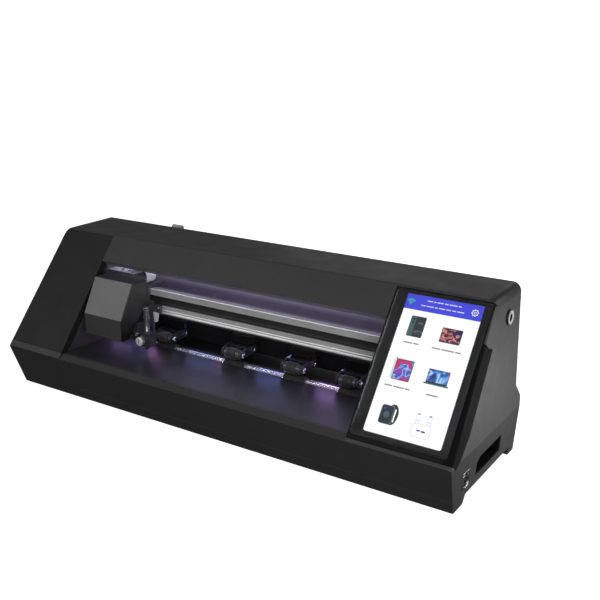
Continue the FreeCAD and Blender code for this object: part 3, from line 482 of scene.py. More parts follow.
# Painted reflection: the chrome jack ring's shine given as an even light grey, barely metal.
RING_PAINTED_REFLECTION = metal("ring_painted_reflection", (0.58, 0.59, 0.59), 0.45, scratch=0.02, metallic=0.1)
SHAFT_STEEL = polished("shaft_steel", (0.95, 0.95, 0.96), 0.20, 0.9)
# Near-white, part-metal colour for the rail's edge beads: painted highlight on top of their own shine.
RAIL_HIGHLIGHT_WHITE = polished("rail_highlight_white", (1.0, 1.0, 1.0), 0.26, 0.30)
CHEEK_PLASTIC = moulded("cheek_plastic", (0.010, 0.010, 0.0104), 0.5, grain=0.2, specular=0.3)
# The thumb screw's near-white, part-metal face: bright metal, partly painted highlight.
SCREW_FACE_HIGHLIGHT = metal("screw_face_highlight", (0.98, 0.98, 0.98), 0.25, scratch=0.03, metallic=0.35)
HOLDER_STEEL = metal("holder_steel", (0.30, 0.30, 0.31), 0.34, (1.0, 1.0, 0.05), metallic=0.9)
BEAM_DARK = moulded("beam_dark", (0.009, 0.009, 0.0095), 0.5, grain=0.1, wear=0.25, edge=0.0003,
                    specular=0.12)
HUB_DARK = moulded("hub_dark", (0.05, 0.05, 0.055), 0.22, grain=0.05, wear=0.5, edge=0.0003)
MARK_WHITE = moulded("mark_white", (0.62, 0.62, 0.62), 0.4, grain=0.1, wear=0.0)
FLAG_WHITE = moulded("flag_white", (0.62, 0.62, 0.66), 0.4, grain=0.12, wear=0.0)
# Painted shade: near-black, low-shine colour for the grip pocket's lining.
POCKET_PAINTED_SHADE = moulded("pocket_painted_shade", (0.004, 0.004, 0.004), 0.7, grain=0.1, wear=0.0, specular=0.1)
GRIP_DARK = moulded("grip_dark", (0.03, 0.03, 0.03), 0.5)
CONTACT_GOLD = metal("contact_gold", (0.75, 0.55, 0.22), 0.2)
LED_LENS = lit("led_lens", (0.42, 0.40, 1.0), 0.12)

SCREEN = [
    lit("screen_white", (1.0, 1.0, 1.0), 1.12),
    lit("screen_blue", (0.055, 0.065, 0.66), 1.12),
    lit("screen_grey", (0.26, 0.26, 0.27), 1.0),
    lit("screen_green", (0.06, 0.46, 0.36), 1.0),
    lit("screen_slate", (0.030, 0.040, 0.050), 1.0),
    lit("screen_teal", (0.075, 0.125, 0.14), 1.0),
    lit("screen_warm", (0.5, 0.2, 0.2), 1.0, picture(
        [(0.30, (0.02, 0.02, 0.08)), (0.44, (0.05, 0.03, 0.10)), (0.49, (0.42, 0.08, 0.05)),
         (0.53, (0.85, 0.42, 0.34)), (0.57, (0.20, 0.03, 0.05)), (0.70, (0.03, 0.04, 0.16))],
        130.0, 1.6, (0.0, 0.0, 0.0))),
    lit("screen_bright", (0.5, 0.2, 0.6), 1.0, picture(
        [(0.30, (0.70, 0.03, 0.08)), (0.43, (0.50, 0.04, 0.20)), (0.48, (0.04, 0.16, 0.70)),
         (0.53, (0.42, 0.66, 1.0)), (0.58, (0.05, 0.10, 0.50)), (0.70, (0.48, 0.04, 0.42))],
        90.0, 1.4, (0.3, 0.1, 0.0))),
    lit("screen_cool", (0.3, 0.5, 0.8), 1.0, picture(
        [(0.30, (0.05, 0.05, 0.24)), (0.43, (0.03, 0.09, 0.36)), (0.52, (0.10, 0.32, 0.80)),
         (0.60, (0.55, 0.80, 1.0)), (0.72, (0.10, 0.12, 0.40))], 85.0, 1.5, (0.7, 0.4, 0.0))),
    lit("screen_pale", (0.70, 0.71, 0.78), 1.0),
    lit("screen_pale_blue", (0.62, 0.64, 1.0), 1.1),
]
WHITE, BLUE, GREY, GREEN, SLATE, TEAL, WARM, BRIGHT, COOL, PALE, PALE_BLUE = range(11)


# ---- mesh helpers
class Shape:
    """A mesh under construction, given in case millimetres."""

    def __init__(self):
        self.bm = bmesh.new()

    def skin(self, rings, index=0, closed=False):
        """Join rings of vertices with quads. The ends are capped unless the rings close on themselves."""
        faces = []
        pairs = list(zip(rings, rings[1:])) + ([(rings[-1], rings[0])] if closed else [])
        for first, second in pairs:
            for i in range(len(first)):
                j = (i + 1) % len(first)
                faces.append(self.bm.faces.new((first[i], first[j], second[j], second[i])))
        if not closed:
            faces.append(self.bm.faces.new(list(reversed(rings[0]))))
            faces.append(self.bm.faces.new(rings[-1]))
        for face in faces:
            face.material_index = index

    def ring(self, points):
        """Vertices at case-millimetre points."""
        return [self.bm.verts.new(at(*point)) for point in points]

    def block(self, low, high, bevel=0.2, index=0):
        """A box with rounded edges."""
        before = set(self.bm.faces)
        verts = bmesh.ops.create_cube(self.bm, size=1.0)["verts"]
        size = Vector([b - a for a, b in zip(low, high)]) / 1000.0
        centre = (at(*low) + at(*high)) / 2.0
        place = Matrix.Translation(centre) @ Matrix.Diagonal((*size, 1.0))
        bmesh.ops.transform(self.bm, matrix=place, verts=verts)
        if bevel > 0:
            edges = list({e for v in verts for e in v.link_edges})
            bmesh.ops.bevel(self.bm, geom=edges, offset=bevel / 1000.0, segments=2, profile=0.6,
                            affect="EDGES", clamp_overlap=True)
        for face in self.bm.faces:
            if face not in before:
                face.material_index = index

    def lathe(self, centre, axis, profile, index=0, segments=40, closed=False, wobble=None):
        """Turn a profile of (distance along the axis, radius) pairs about an axis through centre."""
        direction = Vector(axis).normalized()
        side = direction.orthogonal().normalized()
        other = direction.cross(side)
        rings = []
        for along, radius in profile:
            ring = []
            for i in range(segments):
                angle = 2.0 * math.pi * i / segments
                r = radius + (wobble(i, along) if wobble else 0.0)
                offset = side * math.cos(angle) * r + other * math.sin(angle) * r
                ring.append(Vector(centre) + direction * along + offset)
            rings.append(self.ring(ring))
        self.skin(rings, index, closed)

    def outline(self, points, thickness, index=0):
        """Extrude a flat polygon of row-frame points by a thickness vector."""
        lower = [self.bm.verts.new(p) for p in points]
        upper = [self.bm.verts.new(p + thickness) for p in points]
        self.skin([lower, upper], index)

    def tube(self, points, radius, index=0, segments=10):
        """A round wire along case-millimetre points."""
        rings = []
        for i, point in enumerate(points):
            ahead = Vector(points[min(i + 1, len(points) - 1)]) - Vector(points[max(i - 1, 0)])
            along = ahead.normalized()
            side = (side - along * side.dot(along)).normalized() if rings else ahead.orthogonal().normalized()
            other = along.cross(side)
            ring = []
            for k in range(segments):
                angle = 2.0 * math.pi * k / segments
                ring.append(Vector(point) + (side * math.cos(angle) + other * math.sin(angle)) * radius)
            rings.append(self.ring(ring))
        self.skin(rings, index)

    def finish(self, name, body, slot, materials=None, smooth_angle=35.0):
        """Turn the mesh into a piece on a body; its material is its slot's unless others are given."""
        bmesh.ops.recalc_face_normals(self.bm, faces=self.bm.faces)
        mesh = bpy.data.meshes.new(name)
        self.bm.to_mesh(mesh)
        self.bm.free()
        for polygon in mesh.polygons:
            polygon.use_smooth = True
        mesh.set_sharp_from_angle(angle=math.radians(smooth_angle))
        for material in materials or [MAT[slot]]:
            mesh.materials.append(material)
        piece = bpy.data.objects.new(name, mesh)
        into_scene(piece)
        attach(piece, body)
        return piece


def rounded_rectangle(x0, x1, s0, s1, radii):
    """Corner points in (x, up the slope); radii are bottom left, bottom right, top right, top left."""
    corners = [(x0, s0, 180.0), (x1, s0, 270.0), (x1, s1, 0.0), (x0, s1, 90.0)]
    points = []
    for (x, s, start), r in zip(corners, radii):
        cx = x + r if x == x0 else x - r
        cs = s + r if s == s0 else s - r
        steps = 5 if r > 0 else 0
        for i in range(steps + 1):
            angle = math.radians(start + (90.0 * i / steps if steps else 0.0))
            points.append((cx + r * math.cos(angle), cs + r * math.sin(angle)))
    return points


# ---- CAD nodes: materials and softened edges
# Edge rounding in mm, and the nodes that have it
SOFT_EDGES = (
    (0.5, ("left_end_cap", "right_end_cap", "carriage_cover")),
    (0.6, ("left_cheek",)),
    (0.35, ("front_fascia", "deck_trim", "rear_cover", "tool_holder", "rocker_switch")),
    (0.4, ("top_cover", "base_pan")),
    (0.25, ("carriage_block", "pinch_beam", "pinch_arm_1", "pinch_arm_2", "pinch_arm_3", "pinch_arm_4")),
    (0.3, ("deck_plate", "rubber_feet", "lift_lever")),
    (0.45, ("carriage_rail",)),
    (0.2, ("usb_port",)),
)


def soften(node, width):
    """Round a CAD node's edges with modifiers; its own mesh stays as packed."""
    weld = node.modifiers.new("weld", "WELD")
    weld.merge_threshold = 1e-6
    flat = node.modifiers.new("flat", "DECIMATE")
    flat.decimate_type = "DISSOLVE"
    flat.angle_limit = math.radians(0.4)
    bevel = node.modifiers.new("bevel", "BEVEL")
    bevel.width = width / 1000.0
    bevel.segments = 2
    bevel.limit_method = "ANGLE"
    bevel.angle_limit = math.radians(28.0)
    bevel.use_clamp_overlap = True
    bevel.harden_normals = True


slots = {part["node"]: part["material_slot"] for part in frame["record"]["subparts"]}
for name, node in nodes.items():
    for place in range(max(1, len(node.material_slots))):
        if not node.material_slots:
            node.data.materials.append(MAT[slots[name]])
        node.material_slots[place].material = MAT[slots[name]]
for name, material in (("pinch_beam", BEAM_DARK), ("left_cheek", CHEEK_PLASTIC), ("drive_shaft", SHAFT_STEEL),
                       ("dc_jack", MAT["screw_black"])):
    for place in nodes[name].material_slots:
        place.material = material
for width, names in SOFT_EDGES:
    for name in names:
        soften(nodes[name], width)


# ---- display
PAGE_DEPTH = 2.24
LAYER = 0.02


def screen_patch(shape, points, layer, index):
    depth = PAGE_DEPTH - LAYER * layer
    back = on_slope(0, 0, depth + 0.012) - on_slope(0, 0, depth)
    shape.outline([on_slope(x, s, depth) for x, s in points], back, index)


def screen_box(shape, x0, x1, s0, s1, layer, index, radius=0.0):
    screen_patch(shape, rounded_rectangle(x0, x1, s0, s1, (radius,) * 4), layer, index)


def screen_disc(shape, x, s, radius, layer, index, spread=1.0, count=28):
    points = []
    for i in range(count):
        angle = 2.0 * math.pi * i / count
        points.append((x + radius * math.cos(angle), s + radius * spread * math.sin(angle)))
    screen_patch(shape, points, layer, index)


def screen_fan(shape, x, s, inner, outer, layer, index):
    """One arc of a wireless sign: a band between two radii, opening upwards."""
    angles = [math.radians(40.0 + 100.0 * i / 10) for i in range(11)]
    points = [(x + outer * math.cos(a), s + outer * math.sin(a)) for a in angles]
    points += [(x + inner * math.cos(a), s + inner * math.sin(a)) for a in reversed(angles)]
    screen_patch(shape, points, layer, index)


def page():
    shape = Shape()
    outline = rounded_rectangle(ACTIVE_X[0] + 0.1, ACTIVE_X[1] - 0.1, ACTIVE_S[0] + 0.1, ACTIVE_S[1] - 0.1,
                                (1.8, 1.8, 0.0, 0.0))
    screen_patch(shape, outline, 0, WHITE)
    shape.finish("screen_page", "chassis", "lcd", SCREEN)


def header():
    shape = Shape()
    screen_box(shape, ACTIVE_X[0] + 0.1, ACTIVE_X[1] - 0.1, 111.8, 124.2, 1, BLUE)
    for inner, outer in ((3.1, 4.3), (1.4, 2.6)):
        screen_fan(shape, 385.9, 116.2, inner, outer, 2, GREEN)
    screen_disc(shape, 385.9, 116.4, 0.85, 2, GREEN)
    for row, x, widths in ((120.6, 398.7, (4.4, 2.0, 5.2, 3.1, 6.4, 2.5)),
                           (116.3, 394.6, (3.6, 6.0, 2.4, 5.4, 4.0, 3.2, 5.6))):
        for width in widths:
            screen_box(shape, x, x + width, row - 0.42, row + 0.42, 2, PALE_BLUE, 0.3)
            x += width + 0.8
    x, s = 437.7, 117.9
    corners = 32
    gear = []
    for i in range(corners):
        angle = 2.0 * math.pi * (i + 0.5) / corners
        radius = 2.9 if i % 4 < 2 else 2.25
        gear.append((x + radius * math.cos(angle), s + radius * math.sin(angle)))
    screen_patch(shape, gear, 2, WHITE)
    for radius, layer, colour in ((1.95, 3, BLUE), (1.15, 4, PALE_BLUE), (0.6, 5, BLUE)):
        screen_disc(shape, x, s, radius, layer, colour)
    shape.finish("screen_header", "chassis", "lcd", SCREEN)


def label_bar(shape, x0, x1, s, words):
    """A line of grey word-like bars under an icon."""
    gap = 0.7
    scale = (x1 - x0 - gap * (len(words) - 1)) / sum(words)
    x = x0
    for word in words:
        screen_box(shape, x, x + word * scale, s - 0.5, s + 0.5, 1, GREY, 0.35)
        x += word * scale + gap


# Six tiles: x from and to, slope distance from and to, layer, colour, corner radius
TILE_BOXES = (
    (390.2, 402.7, 90.3, 107.1, 1, SLATE, 1.1), (390.4, 394.6, 90.5, 106.9, 2, TEAL, 0.9),
    (417.0, 433.3, 90.6, 102.4, 1, SLATE, 0.8), (417.6, 432.7, 91.2, 101.8, 2, WARM, 0.4),
    (389.8, 404.2, 54.9, 71.5, 1, SLATE, 0.8), (390.4, 403.7, 55.5, 70.9, 2, BRIGHT, 0.4),
    (388.2, 389.9, 55.8, 70.4, 1, PALE, 0.4), (416.8, 433.5, 58.3, 69.2, 1, SLATE, 0.6),
    (417.4, 432.9, 59.4, 68.7, 2, COOL, 0.3), (415.4, 434.9, 57.2, 58.3, 1, TEAL, 0.4),
    (390.4, 400.8, 20.4, 35.0, 2, GREY, 2.0), (390.8, 400.4, 20.8, 34.6, 3, SLATE, 1.8),
    (401.4, 402.5, 23.0, 33.0, 3, WHITE, 0.5), (392.2, 394.0, 31.6, 32.6, 4, BLUE, 0.3),
    (417.2, 432.4, 16.8, 27.2, 1, PALE, 3.2), (417.6, 432.0, 17.2, 26.8, 2, WHITE, 2.9),
    (421.6, 424.4, 21.4, 22.6, 3, BLUE, 0.5), (425.2, 428.4, 21.2, 22.4, 3, SLATE, 0.5),
)
STALKS = ((1.6, 26.6, 34.6, 1, PALE, 1.5), (1.2, 27.0, 34.2, 2, WHITE, 1.1),
          (0.9, 33.6, 34.3, 3, SLATE, 0.3), (0.7, 28.6, 29.8, 3, PALE_BLUE, 0.5))
TILE_DISCS = ((392.6, 104.4, 1.0, 3, SLATE), (392.6, 101.6, 1.0, 3, SLATE), (389.4, 71.6, 0.6, 1, SLATE),
              (400.2, 28.4, 4.6, 1, SLATE, 1.75), (395.6, 27.8, 2.4, 4, TEAL))
TILE_ARCS = ((4.4, 90.9, GREY), (3.3, 90.9, TEAL), (2.2, 90.9, TEAL), (2.4, 99.6, GREY), (1.3, 99.6, TEAL))
CAPTIONS = ((390.3, 402.6, 85.2, (5.0, 3.2)), (413.4, 436.5, 85.0, (5.0, 8.0, 3.4)),
            (386.4, 407.0, 49.6, (5.0, 6.8, 3.0)), (420.1, 429.5, 49.4, (6.0,)))


def icons():
    shape = Shape()
    for box in TILE_BOXES:
        screen_box(shape, *box)
    for disc in TILE_DISCS:
        screen_disc(shape, *disc)
    for radius, height, colour in TILE_ARCS:
        screen_fan(shape, 398.9, height, radius, radius + 0.4, 3, colour)
    for x in (420.2, 429.2):
        for half, *rest in STALKS:
            screen_box(shape, x - half, x + half, *rest)
    for caption in CAPTIONS:
        label_bar(shape, *caption)
    shape.finish("screen_icons", "chassis", "lcd", SCREEN)


page()
header()
icons()


# ---- small parts used in several places
def pan_screw(shape, centre, axis, radius, height, index=0):
    """A pan head with a cross recess, seated on the surface at centre and rising along the axis."""
    profile = [(-0.3, radius * 0.96), (0.0, radius), (height * 0.45, radius), (height * 0.8, radius * 0.86),
               (height, radius * 0.55), (height, radius * 0.42), (height * 0.45, radius * 0.30)]
    count = 48

    def recess(i, along):
        arm = (i % (count // 4)) in (0, 1, count // 4 - 1)
        deep = along >= height * 0.99
        return 0.0 if arm or not deep else -radius * 0.18
    shape.lathe(centre, axis, profile, index, count, wobble=recess)


def coil(centre, axis, radius, pitch, turns, steps=16):
    """Case-millimetre points along a helix that starts at centre."""
    direction = Vector(axis).normalized()
    side = direction.orthogonal().normalized()
    other = direction.cross(side)
    points = []
    for i in range(int(turns * steps) + 1):
        angle = 2.0 * math.pi * i / steps
        offset = side * math.cos(angle) * radius + other * math.sin(angle) * radius
        points.append(tuple(Vector(centre) + direction * pitch * i / steps + offset))
    return points


# ---- pinch units
def pinch_roller(number, right):
    """Dark hub with stepped ends and a grooved dark tread in the middle."""
    shape = Shape()
    side_gap = 0.3
    x0 = right - PINCH_WIDTH + EAR + side_gap
    wide = right - EAR - side_gap - x0
    bore, seat, hub, step = 1.56, 4.0, 4.5, 3.3
    profile = [(0.0, bore), (0.0, step - 0.2), (0.2, step), (1.0, step), (1.0, hub - 0.3), (1.3, hub),
               (4.1, hub), (4.1, seat), (wide - 4.7, seat), (wide - 4.7, hub), (wide - 1.5, hub),
               (wide - 1.2, hub - 0.3), (wide - 1.2, step), (wide - 0.2, step), (wide, step - 0.2),
               (wide, bore)]
    shape.lathe((x0, *ROLLER_YZ), (1, 0, 0), profile, 0, closed=True)
    start, end = 4.25, wide - 4.85
    tread = [(start, 3.9), (start, 4.9), (start + 0.3, 5.2)]
    grooves = 4
    for i in range(1, grooves + 1):
        middle = start + (end - start) * i / (grooves + 1)
        tread += [(middle - 0.3, 5.2), (middle - 0.18, 5.0), (middle + 0.18, 5.0), (middle + 0.3, 5.2)]
    tread += [(end - 0.3, 5.2), (end, 4.9), (end, 3.9)]
    shape.lathe((x0, *ROLLER_YZ), (1, 0, 0), tread, 1, closed=True)
    name = "pinch_roller_%d" % number
    piece = shape.finish("detailed_" + name, "roller_%d" % number, "roller_rubber",
                         [HUB_DARK, MAT["roller_rubber"]])
    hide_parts(name)


def dome(base, radius, height):
    """Profile of a turned pin end: a groove for the clip and a rounded nose."""
    return [(base, radius), (base + height * 0.55, radius), (base + height * 0.85, radius * 0.8),
            (base + height, radius * 0.45), (base + height * 1.02, 0.02)]


def axle_ends(number, right):
    """Bright axle ends with retaining clips outside both ears."""
    shape = Shape()
    clip = [(0.03, 1.5), (0.03, 2.9), (0.32, 2.9), (0.32, 1.5)]
    for x, direction in ((right, 1.0), (right - PINCH_WIDTH, -1.0)):
        shape.lathe((x, *ROLLER_YZ), (direction, 0, 0), dome(0.02, 2.0, 1.2), 0, 28)
        shape.lathe((x, *ROLLER_YZ), (direction, 0, 0), clip, 0, 28, True)
    shape.finish("axle_ends_%d" % number, "arm_%d" % number, "bright_steel")


def pivot_ends():
    shape = Shape()
    for right in PINCH_RIGHT:
        for x, direction in ((right + 0.9, 1.0), (right - PINCH_WIDTH - 0.9, -1.0)):
            shape.lathe((x, *PIVOT_YZ), (direction, 0, 0), dome(0.0, 2.8, 1.5), 0, 28)
    shape.finish("pivot_pin_ends", "chassis", "bright_steel")


for count, right_face in enumerate(PINCH_RIGHT, start=1):
    pinch_roller(count, right_face)
    axle_ends(count, right_face)
pivot_ends()


def led_lenses():
    shape = Shape()
    count, first, pitch, size = 24, 82.45, 12.0, 2.6
    for i in range(count):
        x = first + pitch * i
        shape.block((x, 86.0, 71.85), (x + size, 86.3, 71.85 + size), 0.1)
    shape.finish("led_lenses", "chassis", "led_board", [LED_LENS])


led_lenses()


def rail_edges():
    """Polished beads along the rail's edges; their near-white colour is painted highlight, on top of their
    own shine, for the thin bright lines of light there.
    """
    shape = Shape()
    start, end = 67.6, 371.4
    for y, z, radius in ((55.1, 102.3, 0.45), (55.0, 83.8, 0.6), (54.5, 81.4, 0.35)):
        shape.tube([(start, y, z), (end, y, z)], radius, 0, 16)
    shape.finish("rail_edges", "chassis", "rail_aluminium", [RAIL_HIGHLIGHT_WHITE])


rail_edges()


# ---- carriage
def cable_loop():
    """The flat cable rolling over from the rail to the carriage."""
    path = [(86.0, 114.8), (90.0, 115.1), (94.0, 115.7), (97.5, 116.7), (101.0, 118.0), (105.5, 119.3)]
    centre = (109.6, 112.8)
    radius = 6.6
    for degrees in range(100, -91, -6):
        angle = math.radians(degrees)
        path.append((centre[0] + radius * math.cos(angle), centre[1] + radius * math.sin(angle)))
    path.append((102.0, 106.3))
    half = 0.15
    shape = Shape()
    rings = []
    for i, (x, z) in enumerate(path):
        ahead = Vector(path[min(i + 1, len(path) - 1)]) - Vector(path[max(i - 1, 0)])
        dx, dz = Vector((-ahead.y, ahead.x)).normalized() * half
        rings.append(shape.ring([(x + dx, RIBBON_Y[0], z + dz), (x + dx, RIBBON_Y[1], z + dz),
                                 (x - dx, RIBBON_Y[1], z - dz), (x - dx, RIBBON_Y[0], z - dz)]))
    shape.skin(rings)
    piece = shape.finish("flat_cable_loop", "carriage", "ribbon_film", smooth_angle=60.0)
    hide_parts("ribbon_loop")


def thumb_screw():
    """Knurled knob with a screwdriver slot; its near-white face is bright metal, partly painted highlight."""
    shape = Shape()
    x, z = SCREW_XZ
    front = 22.0
    count = 60

    def knurl(i, along):
        return 0.0 if not 1.1 < along < 4.6 else (0.16 if i % 2 else -0.12)
    face = [(0.0, 0.05), (0.03, 1.5), (0.12, 2.8), (0.32, 3.6), (0.6, 4.0), (0.9, 4.1), (1.0, 3.8),
            (1.0, 0.05)]
    shape.lathe((x, front, z), (0, 1, 0), face, 0, count)
    knob = [(0.9, 3.9), (1.2, 4.2), (4.5, 4.2), (5.0, 4.0), (5.4, 3.4), (5.4, 1.5), (11.1, 1.45)]
    shape.lathe((x, front, z), (0, 1, 0), knob, 2, count, wobble=knurl)
    shape.block((x - 0.35, front - 0.05, z - 2.7), (x + 0.35, front + 0.3, z + 2.7), 0.12, 1)
    piece = shape.finish("knurled_thumb_screw", "clamp_screw", "bright_steel",
                         [SCREW_FACE_HIGHLIGHT, MAT["screw_black"], HOLDER_STEEL], 25.0)
    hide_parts("thumb_screw")


def blade_holder():
    """Turned barrel with a ringed cap and a knurled collar."""
    shape = Shape()
    x, y = BLADE_XY
    count = 48

    def flute(i, along):
        return -0.12 if i % 6 == 0 and 19.0 < along < 27.0 else 0.0
    profile = [(0.0, 0.97), (0.0, 1.9), (2.0, 2.85), (14.0, 2.85), (18.6, 2.85), (19.2, 2.7), (26.6, 2.7),
               (27.4, 2.9), (29.4, 2.9), (29.8, 3.3), (30.8, 3.3), (31.1, 2.2), (39.0, 2.2), (39.2, 2.85),
               (39.7, 2.6), (40.0, 2.1), (40.0, 1.1), (39.0, 0.8), (39.0, 0.3), (10.0, 0.3), (10.0, 0.97)]
    shape.lathe((x, y, 50.4), (0, 0, 1), profile, 0, count, True, flute)
    shape.lathe((x, y, 81.6), (0, 0, 1), [(0.0, 1.9), (0.0, 2.3), (7.8, 2.3), (7.8, 1.9)], 1, 36, True)
    shape.tube(coil((x, y, 81.9), (0, 0, 1), 2.6, 1.3, 5.6), 0.38, 0, 8)
    piece = shape.finish("turned_blade_holder", "tool", "bright_steel", [HOLDER_STEEL, MAT["screw_black"]],
                         25.0)
    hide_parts("blade_holder")


def tool_springs():
    shape = Shape()
    for x in (88.0, 110.0):
        shape.tube(coil((x, 41.0, 60.5), (0, 0, 1), 2.5, 1.25, 4.8), 0.35)
    piece = shape.finish("tool_return_springs", "carriage", "spring_steel")
    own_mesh(piece)
    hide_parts("tool_spring")


def carriage_details():
    flag = Shape()
    outline = ((125.6, 82.0), (131.2, 82.0), (131.0, 78.0), (130.0, 73.4), (129.2, 72.4), (127.2, 72.4),
               (126.4, 73.4), (125.8, 78.0))
    flag.outline([at(x, 50.3, z) for x, z in outline], Vector((0, 0.0016, 0)))
    flag.finish("home_flag", "carriage", "ribbon_film", [FLAG_WHITE])
    screws = Shape()
    pan_screw(screws, (123.2, 30.05, 64.8), (0, -1, 0), 2.0, 1.2)
    screws.finish("tool_screw", "tool", "bright_steel")
    boss = Shape()
    turned = [(0.0, 1.7), (0.0, 4.1), (0.3, 4.5), (2.2, 4.6), (2.2, 1.7)]
    boss.lathe((SCREW_XZ[0], 27.9, SCREW_XZ[1]), (0, 1, 0), turned, 0, 40, True)
    boss.finish("tool_boss", "tool", "tool_dark")
    tab = Shape()
    for x in (122.0, 131.8):
        pan_screw(tab, (x, 50.62, 86.6), (0, -1, 0), 1.2, 0.8)
    tab.finish("tab_screws", "carriage", "bright_steel")
    clip = Shape()
    clip.block((80.0, 53.6, 114.6), (96.0, 58.4, 115.3), 0.25, 1)
    for x in (83.4, 92.2):
        pan_screw(clip, (x, 55.9, 115.3), (0, 0, 1), 1.5, 0.9)
    clip.finish("cable_clip", "carriage", "carriage_dark", [MAT["screw_black"], MAT["ribbon_film"]])


cable_loop()
thumb_screw()
blade_holder()
tool_springs()
carriage_details()


# ---- right side, back and underside
def jack_details():
    shape = Shape()
    y, z = JACK_YZ
    shape.lathe((442.05, y, z), (1, 0, 0), [(0.0, 1.0), (8.6, 1.0), (9.3, 0.75), (9.6, 0.3)], 0, 24)
    shape.finish("jack_pin", "chassis", "jack_chrome", [MAT["screw_black"]])
    # The ring's even light grey is painted reflection of chrome.
    ring = Shape()
    lip = [(0.0, 3.2), (0.0, 5.8), (0.9, 5.8), (1.1, 5.6), (1.15, 5.3), (1.1, 3.6), (0.9, 3.2)]
    ring.lathe((453.4, y, z), (1, 0, 0), lip, 0, 56, True)
    ring.finish("jack_ring", "chassis", "jack_chrome", [RING_PAINTED_REFLECTION])


def port_contacts():
    shape = Shape()
    y, z = PORT_YZ
    for side in (-1.0, 1.0):
        for k in (-1.5, 0.5):
            low = z + (1.6 if side > 0 else -1.75)
            shape.block((443.0, y + k, low), (452.8, y + k + 1.0, low + 0.15), 0.04)
    shape.finish("port_contacts", "chassis", "port_steel", [CONTACT_GOLD])
    rim = Shape()
    outer = [(-6.6, -4.6), (-3.8, -7.2), (3.8, -7.2), (6.6, -4.6), (6.6, 4.6), (3.8, 7.2), (-3.8, 7.2),
             (-6.6, 4.6)]
    steps = ((1.0, 454.9), (0.97, 455.5), (0.78, 455.5), (0.72, 454.2), (0.72, 453.6), (1.0, 453.6))
    rim.skin([rim.ring([(x, y + dy * scale, z + dz * scale) for dy, dz in outer]) for scale, x in steps],
             closed=True)
    rim.finish("port_rim", "chassis", "port_steel")


def pocket_liner():
    """A cup lining the hand grip, with a rib along its floor; its near-black, low-shine colour is painted
    shade in the hollow.
    """
    outline = [(37.9, 15.7), (89.9, 15.7), (89.9, 29.6), (43.7, 29.6), (37.9, 26.3)]
    middle, skin = (66.0, 22.0), 0.5
    inner = [(y + skin * (1 if y < middle[0] else -1), z + skin * (1 if z < middle[1] else -1))
             for y, z in outline]
    shape = Shape()
    floor_x, mouth_x, floor_skin, taper = 443.0, 455.3, 0.4, 2.39 / 42.4
    rings = []
    for points, x, lean in ((outline, floor_x, 0.0), (outline, mouth_x, taper), (inner, mouth_x, taper),
                            (inner, floor_x + floor_skin, 0.0)):
        rings.append(shape.ring([(x - lean * (NOSE[1] - z), y, z) for y, z in points]))
    shape.skin(rings)
    shape.block((floor_x + 0.2, 44.0, 21.2), (floor_x + 3.2, 88.0, 22.6), 0.3)
    shape.finish("grip_pocket_liner", "chassis", "case_plastic", [POCKET_PAINTED_SHADE])


def rear_screws():
    shape = Shape()
    for x in (78.0, 361.0):
        for z in (74.0, 138.0):
            pan_screw(shape, (x, REAR_WALL_Y, z), (0, 1, 0), 3.0, 1.45)
    piece = shape.finish("rear_pan_screws", "chassis", "screw_black")
    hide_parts("cover_screws")


def rear_brush():
    """Bristles that close the rear media slot against dust, with a gap for the lift lever."""
    shape = Shape()
    start, end, pitch = 64.0, 372.0, 1.6
    for low, high in ((start, LEVER_CLEAR[0]), (LEVER_CLEAR[1], end)):
        shape.block((low, 111.6, 73.0), (high, 113.6, 76.5), 0.2, 1)
        for i in range(int((high - low) / pitch)):
            x = low + pitch * i
            y = 112.2 + 0.35 * (i % 2)
            tip = 48.6 + 0.5 * math.sin(i * 2.4)
            shape.block((x, y, tip), (x + pitch + 0.1, y + 0.4, 73.2), 0.0)
    shape.finish("rear_brush", "chassis", "case_plastic", [MAT["belt_rubber"], MAT["screw_black"]])


def switch_details():
    """A frame around the power rocker, and a ring and a bar printed on its two halves."""
    x, z = SWITCH_XZ
    frame_bars = ((-8.6, 8.6, -13.6, -11.7), (-8.6, 8.6, 11.7, 13.6), (-8.6, -6.5, -12.2, 12.2),
                  (6.5, 8.6, -12.2, 12.2))
    bezel = Shape()
    for x0, x1, z0, z1 in frame_bars:
        bezel.block((x + x0, REAR_WALL_Y - 0.1, z + z0), (x + x1, REAR_WALL_Y + 1.3, z + z1), 0.4)
    bezel.finish("switch_bezel", "chassis", "switch_black")
    marks = Shape()
    lean = Matrix.Rotation(math.radians(-9.0), 4, "X")
    back = lean @ Vector((0, -0.00012, 0))
    pivot = at(x, SWITCH_PIVOT_Y, z)
    middle, slant = 5.0, 1.2 / 9.6
    depth = 7.4 + middle * slant + 0.03

    def printed(points, height):
        """Paint points, given as (x, z, slope of the face) from a mark's middle, on the rocker."""
        places = [at(x + dx, SWITCH_PIVOT_Y + depth + rise, z + height + dz) for dx, dz, rise in points]
        marks.outline([pivot + lean @ (place - pivot) for place in places], back)

    count = 24
    angles = [2.0 * math.pi * i / count for i in range(count)]
    outer, inner = [[(r * math.cos(a), r * math.sin(a)) for a in angles] for r in (2.1, 1.4)]
    for i in range(count):
        j = (i + 1) % count
        printed([(dx, dz, -dz * slant) for dx, dz in (outer[i], outer[j], inner[j], inner[i])], -middle)
    printed([(-0.4, -2.0, -0.25), (0.4, -2.0, -0.25), (0.4, 2.0, 0.25), (-0.4, 2.0, 0.25)], middle)
    marks.finish("switch_marks", "power_rocker", "switch_black", [MARK_WHITE])


def lever_cap():
    """Soft dark end on the lift lever's grip."""
    shape = Shape()
    profile = [(-2.0, 2.9), (-2.0, 3.0), (0.2, 3.0), (0.5, 2.8), (0.5, 0.02)]
    shape.lathe((99.2, 124.5, 146.9), (1, 0, 0), profile, 0, 36)
    shape.finish("lever_grip_end", "lift", "lever_grey", [GRIP_DARK])


